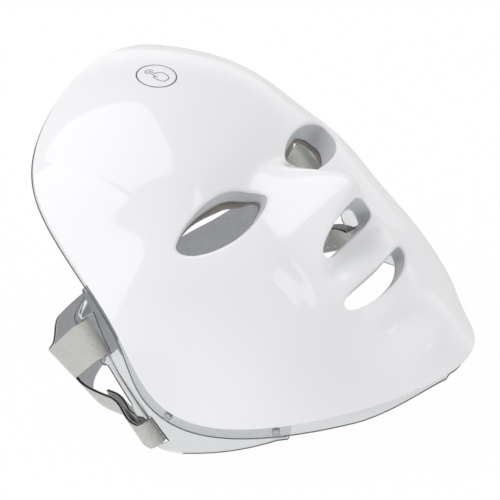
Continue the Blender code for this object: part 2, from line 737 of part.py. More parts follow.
def block(name, size, look, matrix, bevel=0.0, parent=ROOT):
    half = [0.5 * s for s in size]
    corners = [(x, y, z) for x in (-half[0], half[0]) for y in (-half[1], half[1]) for z in (-half[2], half[2])]
    sides = [(0, 1, 3, 2), (4, 6, 7, 5), (0, 4, 5, 1), (2, 3, 7, 6), (0, 2, 6, 4), (1, 5, 7, 3)]
    made = make(name, corners, sides, look, parent)
    made.matrix_local = matrix
    if bevel:
        rounding = made.modifiers.new("edges", "BEVEL")
        rounding.width = bevel * MM
        rounding.segments = 2
    return made


def turned(name, profile, look, matrix, parent=ROOT, sides=12):
    """A round piece about local Z from (radius, z) pairs, closed on the axis."""
    spun = Surface()
    rings = []
    for radius, z in profile:
        turn = 2 * math.pi * np.arange(sides) / sides
        rings.append(spun.add(np.stack([radius * np.cos(turn), radius * np.sin(turn), 0 * turn + z], axis=1)))
    for first, second in zip(rings, rings[1:]):
        spun.bridge(first, second)
    spun.faces += [tuple(rings[0]), tuple(rings[-1])]
    made = make(name, spun.points, spun.faces, look, parent)
    made.matrix_local = matrix
    return made


turned("touch_electrode", [
    (ELECTRODE_DIAMETER / 2, 0.0),
    (ELECTRODE_DIAMETER / 2, -ELECTRODE_THICKNESS),
    (POST_DIAMETER / 2, -ELECTRODE_THICKNESS),
    (POST_DIAMETER / 2, -ELECTRODE_THICKNESS - POST_LENGTH),
], METAL, standing(POD, ELECTRODE_DEPTH), sides=20)
block("controller_board", (BOARD_LENGTH, BOARD_WIDTH, BOARD_THICKNESS), BOARD,
      standing(POD, BOARD_DEPTH + 0.5 * BOARD_THICKNESS))
block("battery", (BATTERY_LENGTH, BATTERY_WIDTH, BATTERY_THICKNESS), POUCH,
      standing(POD, BATTERY_DEPTH + 0.5 * BATTERY_THICKNESS), 0.9)
port = block("usb_port", (PORT_WIDTH, PORT_LENGTH, PORT_HEIGHT), METAL,
             standing(PORT_AT, PORT_DEPTH + 0.5 * PORT_HEIGHT), 0.7)
mouth_cut = block("usb_port_cut", (PORT_WIDTH - 2 * PORT_WALL, PORT_LENGTH, PORT_HEIGHT - 2 * PORT_WALL), METAL,
                  standing(PORT_AT, PORT_DEPTH + 0.5 * PORT_HEIGHT)
                  @ Matrix.Translation((0.0, -2 * PORT_WALL * MM, 0.0)), 0.5)
cut(port, mouth_cut)
BOARD_AT = (0.0, -CHIN_REACH + PORT_RECESS + 1.0 + CHARGE_BOARD_LENGTH / 2)
block("charge_board", (CHARGE_BOARD_WIDTH, CHARGE_BOARD_LENGTH, CHARGE_BOARD_THICKNESS), BOARD,
      standing(PORT_AT, CHARGE_BOARD_DEPTH + 0.5 * CHARGE_BOARD_THICKNESS)
      @ Matrix.Translation((0.0, (BOARD_AT[1] - PORT_AT[1]) * MM, 0.0)))


# Leads lie against the inside of the shell
def lead(name, stations):
    route = np.array(stations, float)
    share = np.linspace(0, len(route) - 1, 30)
    points = np.stack([np.interp(share, np.arange(len(route)), route[:, k]) for k in range(2)], axis=1)
    for _ in range(6):
        points[1:-1] = 0.25 * points[:-2] + 0.5 * points[1:-1] + 0.25 * points[2:]
    lifted = place(points, SHELL_WALL + LEAD_GAP + LEAD_DIAMETER / 2)
    curve = bpy.data.curves.new(name, "CURVE")
    curve.dimensions = "3D"
    curve.bevel_depth = 0.5 * LEAD_DIAMETER * MM
    curve.bevel_resolution = 1
    curve.use_fill_caps = True
    spline = curve.splines.new("POLY")
    spline.points.add(len(lifted) - 1)
    for point, at in zip(spline.points, lifted):
        point.co = (*(Vector(at) * MM), 1.0)
    curve.materials.append(WIRE)
    made = bpy.data.objects.new(name, curve)
    bpy.context.scene.collection.objects.link(made)
    made.parent = ROOT


def rim_route(first, last, share, side, count=12):
    return [np.array(polar(d, share)) * (side, 1.0) for d in np.linspace(first, last, count)]


BOARD_EDGE = BOARD_LENGTH / 2 + LEAD_END_GAP
charge_start = (-CHARGE_BOARD_WIDTH / 2 - LEAD_END_GAP, -CHIN_REACH + CHARGE_LEAD_FROM_CHIN)
charge_route = rim_route(*CHARGE_LEAD_SPAN, CHARGE_LEAD_SHARE, -1, 14)
lead("charge_lead", [charge_start, *charge_route, (-BOARD_EDGE, POD_Y + CHARGE_LEAD_RISE)])
for side, word in ((-1, "right"), (1, "left")):
    start = (side * BOARD_EDGE, POD_Y - LED_LEAD_DROP)
    lead("led_lead_" + word, [start, *rim_route(*LED_LEAD_SPAN, LED_LEAD_SHARE, side)])


# Side wings: clear brackets that follow the liner's rim, then flare and stand on the table
def wing_start(degrees, inward):
    """Mid-surface under the liner: tangent distance inward (or beyond, when negative) of the white rim."""
    angle = np.radians(degrees)
    radius = rim_value(RADIUS_TERMS, angle)
    slope = (CROWN_LEVEL - rim_value(LEVEL_TERMS, angle)) * DOME_POWER / radius
    radius = radius - inward / np.hypot(1.0, slope)
    points = np.stack([radius * np.sin(angle), radius * np.cos(angle)], axis=1)
    return place(points, liner_depth(points) + LINER_WALL + WING_GAP + WING_WALL / 2)


def wing_follow(degrees):
    """How far past the white rim the sheet keeps to the liner's lip and skirt."""
    return WING_PAST_LIP + LINER_LIP + (JAW_SKIRT - LINER_LIP) * rise(degrees, JAW_SKIRT_SPAN)


def wing_flare(degrees):
    return UPPER_FLARE + (LOWER_FLARE - UPPER_FLARE) * smooth((degrees - 92.0) / 16.0)


def wing_free(degrees, drop):
    """Below the part that follows the liner, the sheet runs straight."""
    base = wing_start(degrees, -wing_follow(degrees))
    angle = np.radians(degrees)
    flare = wing_flare(degrees) * drop
    return base + np.stack([flare * np.sin(angle), flare * np.cos(angle), -drop], axis=1)


def bar_point(at):
    return to_world(wing_free(np.array([at[0]]), np.array([at[1]])))[0]


EYE_LEVEL_HEIGHT = LOWER_BAR_HEIGHT - bar_point(LOWER_BAR_AT)[2]
ROOT.location = (0.0, FRAME_SHIFT * MM, EYE_LEVEL_HEIGHT * MM)
upper_bar, lower_bar = bar_point(UPPER_BAR_AT), bar_point(LOWER_BAR_AT)
AXIS_X = 0.5 * (upper_bar[0] + lower_bar[0])
AXIS_ANGLE = math.atan2(upper_bar[1] - lower_bar[1], upper_bar[2] - lower_bar[2])
AXIS_Y, AXIS_Z = upper_bar[1], upper_bar[2]
UP = np.array([0.0, math.sin(AXIS_ANGLE), math.cos(AXIS_ANGLE)])
BACK = np.array([0.0, math.cos(AXIS_ANGLE), -math.sin(AXIS_ANGLE)])
AXIS_POINT = np.array([AXIS_X, AXIS_Y, AXIS_Z])
LOWER_TAIL_AT = -math.hypot(upper_bar[1] - lower_bar[1], upper_bar[2] - lower_bar[2])


def behind_axis(points):
    return (points - AXIS_POINT) @ BACK


def wing_reach(degrees):
    """How far the free sheet goes: to the bars' outer edges, to the notch between the lobes, or to the table."""
    near = to_world(wing_free(degrees, np.zeros_like(degrees)))
    far = to_world(wing_free(degrees, np.ones_like(degrees)))
    to_bar = (BAR_WIDTH / 2 - behind_axis(near)) / (behind_axis(far) - behind_axis(near))
    to_table = (-1.0 - near[:, 2]) / (far[:, 2] - near[:, 2])
    reach = np.minimum(to_bar, to_table)
    upper = smooth((degrees - WING_FROM) / 5.0) * smooth((NOTCH_AT - 2.0 - degrees) / 5.0)
    taper = np.clip((WING_TO - 2.0 - degrees) / WING_TAPER, 0.0, 1.0)
    lower = smooth((degrees - NOTCH_AT - 2.0) / 5.0) * taper
    web = NOTCH_SHARE * smooth((degrees - WING_FROM) / 5.0) * taper
    return NOTCH_REACH * 0.3 + (reach - NOTCH_REACH * 0.3) * np.maximum(np.maximum(upper, lower), web)


def side_wing(name, side):
    degrees = np.linspace(WING_FROM, WING_TO, 44)
    rows = [to_world(wing_start(degrees, WING_INNER)), to_world(wing_start(degrees, 0.0 * degrees))]
    rows.append(to_world(wing_start(degrees, -wing_follow(degrees))))
    reach = wing_reach(degrees)
    for share in np.linspace(0, 1, 6)[1:]:
        rows.append(to_world(wing_free(degrees, reach * share)))
    for row in rows[3:]:
        back = behind_axis(row)
        flat = smooth((back + BAR_WIDTH / 2 + SLOT_WIDTH) / (SLOT_WIDTH - 0.5))
        flat = flat * smooth((UPPER_TAIL_WIDTH / 2 + 7.0 - (row - AXIS_POINT) @ UP) / 5.0)
        row[:, 0] += (AXIS_X - row[:, 0]) * flat
    sheet = Surface()
    lines = [sheet.add(row * (side, 1.0, 1.0)) for row in rows]
    for first, second in zip(lines, lines[1:]):
        for k in range(len(degrees) - 1):
            sheet.faces.append((first[k], first[k + 1], second[k + 1], second[k]))
    wing = make(name, sheet.points, sheet.faces, CLEAR)
    solid = wing.modifiers.new("wall", "SOLIDIFY")
    solid.thickness = WING_WALL * MM
    solid.offset = 0.0
    solid.use_even_offset = True
    return wing


def axis_matrix(side):
    place_at = Vector((side * AXIS_X, AXIS_Y, AXIS_Z)) * MM
    return Matrix.Translation(place_at) @ Matrix.Rotation(-AXIS_ANGLE, 4, "X")


TABLE_SPAN, TABLE_DEPTH = 4 * CHIN_REACH, 0.25 * CHIN_REACH
TABLE = block("table_cut", (TABLE_SPAN, TABLE_SPAN, TABLE_DEPTH), CLEAR,
              Matrix.Translation((0.0, 0.0, -0.5 * TABLE_DEPTH * MM)), parent=None)
WINGS = {}
for side, word in ((-1, "right"), (1, "left")):
    wing = side_wing("side_wing_" + word, side)
    cut(wing, TABLE)
    for name, width, at in (("upper", UPPER_TAIL_WIDTH, 0.0), ("lower", LOWER_TAIL_WIDTH, LOWER_TAIL_AT)):
        middle = Vector((0.0, -(BAR_WIDTH + SLOT_WIDTH) / 2, at)) * MM
        slot = block("slot_" + name + "_" + word, (SLOT_CUT_DEPTH, SLOT_WIDTH, width + 2 * SLOT_END_GAP), CLEAR,
                     axis_matrix(side) @ Matrix.Translation(middle), parent=None)
        cut(wing, slot)
    WINGS[side] = wing

# Rivets join the wings to the jaw skirt
bpy.context.view_layer.update()
for side, word in ((-1, "right"), (1, "left")):
    for number, degrees in enumerate(RIVETS_AT, 1):
        here = wing_start(np.array([degrees]), -RIVET_DROP)[0] * (side, 1.0, 1.0)
        near = wing_start(np.array([degrees - 1.0, degrees + 1.0]), -RIVET_DROP) * (side, 1.0, 1.0)
        along = wing_start(np.array([degrees]), -RIVET_DROP - 1.0)[0] * (side, 1.0, 1.0) - here
        normal = Vector(np.cross(near[1] - near[0], along)).normalized()
        if normal.x * side < 0:
            normal = -normal
        inner = -WING_WALL / 2 - SEAT_GAP
        outer = WING_WALL / 2 + WING_GAP + LINER_WALL + SEAT_GAP
        matrix = Matrix.Translation(Vector(here) * MM) @ normal.to_track_quat("Z", "Y").to_matrix().to_4x4()
        turned("rivet_%s_%d" % (word, number), [
            (RIVET_HEAD / 2 - 0.5, outer + RIVET_HEAD_HEIGHT),
            (RIVET_HEAD / 2, outer + 0.3 * RIVET_HEAD_HEIGHT),
            (RIVET_HEAD / 2, outer),
            (RIVET_SHANK / 2, outer),
            (RIVET_SHANK / 2, inner),
            (RIVET_HEAD / 2, inner),
            (RIVET_HEAD / 2 - 0.5, inner - RIVET_HEAD_HEIGHT),
        ], CLEAR, matrix, sides=10)
        drill = RIVET_SHANK / 2 + RIVET_HOLE_GAP
        hole = turned("rivet_hole_%s_%d" % (word, number), [(drill, outer + 2.0), (drill, inner - 2.0)],
                      CLEAR, matrix, sides=12)
        cut(inner_liner, hole)
        cut(WINGS[side], hole)

# Head strap: path in the plane across the bars, as (inward from the axis, back from the axis)
TURN = math.hypot(BAR_WIDTH / 2, WING_WALL / 2) + TAIL_TURN_GAP + STRAP_WALL / 2
LAYER = STRAP_WALL + TAB_WALL + 2 * SEAT_GAP


def outer_path(count, side):
    squareness = STRAP_SQUARENESS_RIGHT if side < 0 else STRAP_SQUARENESS_LEFT
    reach_x = AXIS_X + TURN
    turn = np.linspace(0.0, math.pi / 2, 2000)
    across = reach_x * np.cos(turn) ** (2 / squareness)
    back = STRAP_REACH * np.sin(turn) ** (2 / squareness)
    wanted = across > STRAP_END_GAP
    across = np.append(across[wanted], STRAP_END_GAP)
    back = np.append(back[wanted], STRAP_REACH)
    run = np.concatenate([[0.0], np.cumsum(np.hypot(np.diff(across), np.diff(back)))])
    stops = np.linspace(0.0, run[-1], count)
    return np.stack([AXIS_X - np.interp(stops, run, across), np.interp(stops, run, back)], axis=1)


def path_side(path):
    ahead = np.gradient(path, axis=0)
    ahead /= np.linalg.norm(ahead, axis=1, keepdims=True)
    return np.stack([ahead[:, 1], -ahead[:, 0]], axis=1)


def table_edge(back):
    """Where the strap's lower edge lies on the table, along the axis from the upper bar."""
    lowest = (AXIS_Z + back * BACK[2] - 0.6 * STRAP_WALL * abs(BACK[2])) / UP[2]
    return -lowest + 0.35


def lower_edges(back):
    low = np.maximum(LOWER_TAIL_AT - LOWER_TAIL_WIDTH / 2, table_edge(back))
    return low, low + LOWER_TAIL_WIDTH


def upper_edges(path, side):
    """The upper tail falls towards the table, then its top edge rises and runs level round the back."""
    back = np.maximum(path[:, 1], 0.0)
    merged = lower_edges(np.array([TAIL_MERGE]))[1][0] + 1.0
    share = np.clip(back / TAIL_MERGE, 0.0, 1.0)
    low = -UPPER_TAIL_WIDTH / 2 + (merged + UPPER_TAIL_WIDTH / 2) * share
    width = BACK_BAND_WIDTH_RIGHT if side < 0 else BACK_BAND_WIDTH_LEFT
    level = table_edge(back) + width
    falling = low + UPPER_TAIL_WIDTH - TAIL_TAPER * (BACK_BAND_WIDTH_RIGHT - width) * share
    flare = smooth((path[:, 0] - BAND_FLARE_FROM) / BAND_FLARE_RUN)
    return low, falling + 0.5 * flare * (level - falling + np.sqrt((falling - level) ** 2 + 4.0))


def beside(side, back, offset):
    """Points of the strap's own path at these distances back, moved inward, and how far each leans."""
    main = outer_path(600, side)
    inward = path_side(main)
    first = main[:, 1] < 0.9 * STRAP_REACH
    pick = [np.interp(back, main[first, 1], column[first]) for column in (*main.T, *inward.T)]
    base = np.stack(pick[:2], axis=1)
    return base + np.stack(pick[2:], axis=1) * np.reshape(offset, (-1, 1)), lean(base)


def lean(path):
    past_bar = smooth((path[:, 1] - BAR_WIDTH / 2 - 1.0) / STRAP_LEAN_RUN)
    return STRAP_LEAN * past_bar * (1 - smooth((path[:, 0] + TURN) / AXIS_X))


def tail_path(side):
    """The folded-back tail, from its free end to the bar and round it."""
    back = np.linspace(TAIL_RETURN, 0.0, 14)
    inner, leaning = beside(side, back, LAYER + (2 * TURN - LAYER) * (1 - smooth(back / TAB_FROM)))
    turn = np.linspace(0.0, math.pi, 9)[1:-1]
    around = np.stack([TURN * np.cos(turn), -TURN * np.sin(turn)], axis=1)
    return np.concatenate([inner, around]), np.concatenate([leaning, np.zeros(len(around))])


def band(name, side, parent, path, leaning, edges, wall, look, present=None):
    """Cloth of even thickness along the path, between the given edges along the axis, leaning in at its foot."""
    sheet = Surface()
    layers = []
    for shift in (-wall / 2, wall / 2):
        layer = []
        for edge in edges:
            moved = path + path_side(path) * shift
            across = moved[:, 0] + leaning * (UPPER_TAIL_WIDTH / 2 - edge)
            layer.append(sheet.add(np.stack([-side * across, moved[:, 1], edge], axis=1)))
        layers.append(layer)
    used = {}
    for k in range(len(path) - 1):
        for line in range(len(edges) - 1):
            if present is not None and not present(k, line):
                continue
            cell = ((line, k), (line, k + 1), (line + 1, k + 1), (line + 1, k))
            for layer in layers:
                sheet.faces.append(tuple(layer[a][b] for a, b in cell))
            for first, second in zip(cell, cell[1:] + cell[:1]):
                used.setdefault(tuple(sorted((first, second))), []).append(1)
    for (first, second), count in used.items():
        if len(count) == 1:
            corners = [(layers[0], first), (layers[0], second), (layers[1], second), (layers[1], first)]
            sheet.faces.append(tuple(layer[a][b] for layer, (a, b) in corners))
    return make(name, sheet.points, sheet.faces, look, parent)


def strap(name, side, parent):
    main = outer_path(64, side)
    tail, leaning = tail_path(side)
    path = np.concatenate([tail, main])
    leaning = np.concatenate([leaning, lean(main)])
    back = np.maximum(path[:, 1], 0.0)
    joined = len(tail) + int(np.argmax(main[:, 1] > TAIL_MERGE))
    (low, top), upper = lower_edges(back), upper_edges(path, side)
    edges = [low, np.minimum(top, upper[0] - 1.0), *upper]
    whole = lambda k, line: line != 1 or k >= joined
    return band(name, side, parent, path, leaning, edges, STRAP_WALL, FABRIC, whole)


for side, word in ((-1, "right"), (1, "left")):
    hinge = bpy.data.objects.new("strap_axis_" + word, None)
    bpy.context.scene.collection.objects.link(hinge)
    hinge.matrix_world = axis_matrix(side)
    strap("strap_" + word, side, hinge)
    back = np.linspace(TAB_FROM + 1.0, TAIL_RETURN - 1.0, 8)
    path, leaning = beside(side, back, LAYER / 2)
    for word_at, edges in (("upper", upper_edges(path, side)), ("lower", lower_edges(back))):
        inset = (edges[0] + TAB_INSET, edges[1] - TAB_INSET)
        band("hook_tab_%s_%s" % (word_at, word), side, hinge, path, leaning, inset, TAB_WALL, HOOK)
    if side < 0:
        main = outer_path(600, side)
        run = main[main[:, 0] > AXIS_X - HOOK_PATCH_LENGTH][::6]
        lift = 0.5 * (STRAP_WALL + HOOK_PATCH_WALL) + SEAT_GAP
        path = run - path_side(run) * lift
        low = table_edge(np.array([STRAP_REACH]))[0] + HOOK_PATCH_INSET
        edges = (np.full(len(path), low), np.full(len(path), low + BACK_BAND_WIDTH_RIGHT - 2 * HOOK_PATCH_INSET))
        band("rear_hook_patch", side, hinge, path, lean(run), edges, HOOK_PATCH_WALL, HOOK)
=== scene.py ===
import math

import bmesh
import bpy
import numpy as np
from mathutils import Matrix, Vector
from mathutils.geometry import delaunay_2d_cdt


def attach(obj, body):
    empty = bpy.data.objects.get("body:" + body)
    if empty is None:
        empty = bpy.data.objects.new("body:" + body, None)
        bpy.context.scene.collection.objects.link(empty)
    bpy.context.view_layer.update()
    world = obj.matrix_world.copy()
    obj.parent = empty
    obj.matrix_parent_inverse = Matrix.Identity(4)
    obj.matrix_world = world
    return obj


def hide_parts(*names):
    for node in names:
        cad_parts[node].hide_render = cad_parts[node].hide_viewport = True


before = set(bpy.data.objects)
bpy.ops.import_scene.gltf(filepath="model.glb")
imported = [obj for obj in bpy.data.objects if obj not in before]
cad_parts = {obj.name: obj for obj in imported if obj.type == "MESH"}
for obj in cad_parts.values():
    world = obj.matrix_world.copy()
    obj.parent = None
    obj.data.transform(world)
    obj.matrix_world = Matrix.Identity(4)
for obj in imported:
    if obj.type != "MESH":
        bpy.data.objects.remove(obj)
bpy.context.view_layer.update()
scene = bpy.context.scene
scene.view_settings.view_transform = "Standard"

# Studio: the mask lies face up on a lit white table and is taken with a long lens from above its right jaw.
# A large soft box hangs over it and another stands at its right temple; both show in the polished shell.
CAMERA_AT = Vector((-0.5201, -0.3298, 0.4857))
CAMERA_AHEAD = Vector((0.6837, 0.4508, -0.5739))
CAMERA_LENS, CAMERA_SENSOR = 117.68, 36.0
FLOOR_HALF = 4.0
FLOOR_SEEN, FLOOR_MIRRORED, FLOOR_THROUGH = 0.98, 0.9, 0.84  # share that is plain white to each kind of ray
MIRROR_DIP = 0.3
TABLE_LAMP_RADII, TABLE_LAMP_LEVELS = (0.05, 0.115), (1.25, 0.16)
WALL_RISE, WALL_LEVELS = (0.2, 0.55), (1.0, 0.15)
FILL_SIDES, FILL_LEVELS = (-0.7, 0.7), (0.62, 0.84)
JAW_CARD_SIZE, JAW_CARD_RADIANCE = (0.30, 0.20), 1.3
JAW_CARD_AT, JAW_CARD_AHEAD = (0.20, -0.85, 1.07), Vector((-0.15, 0.63, -0.76))
SOFT_BOXES = (  # name, radiance, middle, across, up, outline
    ("overhead_box", 1.5, (0.0, 0.0, 1.08), (1.0, 0.0, 0.0), (0.0, 1.0, 0.0), [
        (-0.05, 1.14), (0.06, 1.06), (0.44, 0.44), (0.455, 0.36), (0.35, 0.0), (0.30, -0.08), (0.08, -0.23),
        (0.02, -0.24), (-0.62, -0.01), (-0.45, 1.24), (-0.25, 1.24)]),
    ("temple_box", 1.75, (-0.66, 0.39, 0.56), (-0.50, -0.87, 0.0), (0.46, -0.27, 0.85), [
        (-0.45, -0.38), (0.36, -0.38), (0.35, -0.20), (0.29, -0.05), (0.29, 0.08), (0.34, 0.44),
        (-0.10, 0.36), (-0.45, 0.22)]),
)


def paint(code):
    """An sRGB hex colour as the linear colour that a socket takes."""
    parts = [int(code[k:k + 2], 16) / 255 for k in (0, 2, 4)]
    return (*[p / 12.92 if p <= 0.04045 else ((p + 0.055) / 1.055) ** 2.4 for p in parts], 1.0)


def node(look, kind, inputs=None, **settings):
    """One shader node: an input is a constant or a (node, output) link, and settings are its own options."""
    made = look.node_tree.nodes.new("ShaderNode" + kind)
    for name, value in settings.items():
        setattr(made, name, value)
    for name, value in (inputs or {}).items():
        if isinstance(value, tuple) and isinstance(value[0], bpy.types.Node):
            look.node_tree.links.new(value[0].outputs[value[1]], made.inputs[name])
        else:
            made.inputs[name].default_value = value
    return made


def graded(look, value, span, levels):
    """A value that goes from one level to another over a span of the given one, as a link."""
    return node(look, "MapRange", {0: value, 1: span[0], 2: span[1], 3: levels[0], 4: levels[1]}), 0


def new_look(name):
    look = bpy.data.materials.new(name)
    look.use_nodes = True
    look.node_tree.nodes.clear()
    return look


def show(look, shader):
    node(look, "OutputMaterial", {"Surface": (shader, 0)})
    return look


def placed(name, data):
    made = bpy.data.objects.new(name, data)
    scene.collection.objects.link(made)
    return made


camera = placed("camera", bpy.data.cameras.new("camera"))
camera.location = CAMERA_AT
camera.rotation_euler = CAMERA_AHEAD.to_track_quat("-Z", "Y").to_euler()
camera.data.lens = CAMERA_LENS
camera.data.sensor_width = CAMERA_SENSOR
scene.camera = camera

# Lit acrylic is plain white to the eye, a little greyer in reflections and through clear plastic.
# A lamp under it lights the mask's underside, and only by way of other surfaces.
acrylic = new_look("lit_white_acrylic")
rays = node(acrylic, "LightPath")
mirrored = node(acrylic, "Math", {0: (rays, "Is Glossy Ray"), 1: (rays, "Is Transmission Ray")},
                operation="SUBTRACT", use_clamp=True)
share = node(acrylic, "Math", {0: (rays, "Is Transmission Ray"), 1: FLOOR_THROUGH}, operation="MULTIPLY")
for ray, part in (((mirrored, 0), FLOOR_MIRRORED), ((rays, "Is Camera Ray"), FLOOR_SEEN)):
    share = node(acrylic, "Math", {0: ray, 1: part, 2: (share, 0)}, operation="MULTIPLY_ADD")
level = node(acrylic, "Math", {0: (mirrored, 0), 1: -MIRROR_DIP, 2: 1.0}, operation="MULTIPLY_ADD")
floor_at = node(acrylic, "NewGeometry")
from_lamp = node(acrylic, "VectorMath", {0: (floor_at, "Position")}, operation="LENGTH")
lamp = graded(acrylic, (from_lamp, "Value"), TABLE_LAMP_RADII, TABLE_LAMP_LEVELS)
bounced = node(acrylic, "Math", {0: (rays, "Diffuse Depth"), 1: 1.0}, operation="MINIMUM")
lamp = node(acrylic, "Math", {0: lamp, 1: (bounced, 0)}, operation="MULTIPLY")
lit = node(acrylic, "Emission", {"Color": paint("ffffff"), "Strength": (lamp, 0)})
matte = node(acrylic, "BsdfDiffuse", {"Color": paint("f4f4f4")})
matte = node(acrylic, "AddShader", {0: (matte, 0), 1: (lit, 0)})
bright = node(acrylic, "Emission", {"Color": paint("ffffff"), "Strength": (level, 0)})
show(acrylic, node(acrylic, "MixShader", {0: (share, 0), 1: (matte, 0), 2: (bright, 0)}))


def flat_sheet(name, corners, look):
    """A flat polygon of the studio."""
    mesh = bpy.data.meshes.new(name)
    mesh.from_pydata(corners, [], [range(len(corners))])
    mesh.materials.append(look)
    return placed(name, mesh)


SQUARE = ((-1, -1), (1, -1), (1, 1), (-1, 1))
sweep = flat_sheet("sweep", [(FLOOR_HALF * x, FLOOR_HALF * y, 0) for x, y in SQUARE], acrylic)

studio = bpy.data.worlds.new("studio")
studio.use_nodes = True
studio.node_tree.nodes.clear()
rays = node(studio, "LightPath")
seen = node(studio, "Math", {0: (rays, "Is Camera Ray"), 1: (rays, "Is Glossy Ray")}, operation="ADD")
seen = node(studio, "Math", {0: (seen, 0), 1: (rays, "Is Transmission Ray")}, operation="ADD", use_clamp=True)
toward = node(studio, "TexCoord")
toward = node(studio, "SeparateXYZ", {0: (toward, "Generated")})
wall_level = graded(studio, (toward, 2), WALL_RISE, WALL_LEVELS)
fill_level = graded(studio, (toward, 0), FILL_SIDES, FILL_LEVELS)
walls, fill = [node(studio, "Background", {"Color": paint("ffffff"), "Strength": strength})
               for strength in (wall_level, fill_level)]
mixed = node(studio, "MixShader", {0: (seen, 0), 1: (fill, 0), 2: (walls, 0)})
node(studio, "OutputWorld", {"Surface": (mixed, 0)})
scene.world = studio

lamp = bpy.data.lights.new("jaw_card", "AREA")
lamp.shape = "RECTANGLE"
lamp.size, lamp.size_y = JAW_CARD_SIZE
lamp.energy = JAW_CARD_RADIANCE * math.pi * lamp.size * lamp.size_y
jaw_card = placed("jaw_card", lamp)
jaw_card.location = JAW_CARD_AT
jaw_card.rotation_euler = JAW_CARD_AHEAD.to_track_quat("-Z", "Y").to_euler()
jaw_card.visible_camera = jaw_card.visible_transmission = False
for name, radiance, at, across, up, outline in SOFT_BOXES:
    box_cloth = new_look(name + "_cloth")
    show(box_cloth, node(box_cloth, "Emission", {"Color": paint("ffffff"), "Strength": radiance}))
    box = flat_sheet(name, [Vector(at) + Vector(across) * u + Vector(up) * v for u, v in outline], box_cloth)
    box.visible_camera = box.visible_transmission = box.visible_shadow = False

# Outer shell: the white face, injection moulded in ABS and polished to a gloss.
# Its rim is rounded over, and the edges of the eye, nostril and mouth openings turn inwards as short walls.
PITCH = math.radians(33.2)
FRAME_SHIFT = 1.496
EYE_LEVEL_HEIGHT = 93.994
RIM_RADIUS = (97.8, 98.0, 98.3, 91.2, 87.6, 93.4, 103.0, 109.4, 112.5, 118.0)
RIM_LEVEL = (-28.8, -32.0, -39.7, -42.0, -42.4, -49.0, -54.0, -29.2, -10.6, 6.7)
CROWN_LEVEL = 3.2
DOME_POWER = 3.35
EYE_BAND, UPPER_LIP = (-4.8, 0.0, 62.0, 14.0), (6.6, -59.0, 27.0, 8.5)  # height, y, half length, half height
LOWER_LIP, CHIN = (2.6, -77.5, 22.0, 6.0), (3.0, -101.0, 24.0, 11.0)
CHEEK_HEIGHT, CHEEK_X, CHEEK_Y, CHEEK_RADIUS = 1.4, 58.0, -20.0, 24.0
NOSE_HEIGHT, NOSE_RISE_POWER = 30.2, 0.8
NOSE_ROOT_Y, NOSE_TIP_Y = 6.0, -26.0
NOSE_ROOT_HALF_WIDTH, NOSE_BASE_HALF_WIDTH = 11.0, 24.0
NOSE_RIDGE_RADIUS, NOSE_UNDERCUT, NOSE_WING_DROP = 3.2, 10.5, 9.0
ROOT_BLEND, TIP_BLEND, FLANK_BLEND = 0.006, 0.012, 0.012
EYE_X, EYE_Y, EYE_HALF_LENGTH, EYE_TILT = 37.5, -1.2, 24.0, 0.14
EYE_UPPER_RISE, EYE_LOWER_DROP = 10.8, 10.2
EYE_UPPER_LEAN, EYE_LOWER_LEAN = 0.26, 0.17
EYE_WALL, EYE_WALL_OUTER = 7.0, 11.0
EYE_LID_INSET, EYE_LID_OUTSET = 1.8, 1.6
LID_TURN_TO, LID_TURN_RUN = 0.75, 1.1  # outwards from an eye's middle, in half lengths of the eye
NOSTRIL_HALF_LENGTH, NOSTRIL_WALL = 20.0, 10.0
MOUTH_HALF_LENGTH, MOUTH_WALL = 25.8, 7.5
WALL_DRAFT = 0.6
EDGE_RADIUS = 1.4
SHELL_WALL = 1.6
SHELL_PITCH, SHELL_INNER_PITCH = 1.8, 4.0
FIELD_HALF_WIDTH, FIELD_LOW, FIELD_HIGH = 110.0, -128.0, 112.0
ROW_STEP, RIM_CLEARANCE, HOLE_CLEARANCE = 0.866, 0.7, 0.6  # in pitches of the mesh
HOLE_REACH = 40.0
SLOPE_STEP, SHADING_STEP = 0.25, 0.2
RIM_COUNT, HOLE_COUNT = 360, 104
EDGE_ROWS, WALL_ROWS = 7, 5
SIDES = ((-1, "right"), (1, "left"))


def smooth(t):
    t = np.clip(t, 0.0, 1.0)
    return t * t * (3.0 - 2.0 * t)


def rim_terms(stations):
    order = np.arange(len(stations))
    return np.linalg.solve(np.cos(np.outer(order * math.pi / order[-1], order)), np.array(stations))


def rim_value(terms, angle):
    return np.tensordot(terms, np.cos(np.multiply.outer(np.arange(len(terms)), angle)), 1)


RADIUS_TERMS, LEVEL_TERMS = rim_terms(RIM_RADIUS), rim_terms(RIM_LEVEL)


def dome(x, y):
    angle = np.arctan2(np.abs(x), y)
    level = rim_value(LEVEL_TERMS, angle)
    share = np.hypot(x, y) / rim_value(RADIUS_TERMS, angle)
    return level + (CROWN_LEVEL - level) * (1.0 - share**DOME_POWER)


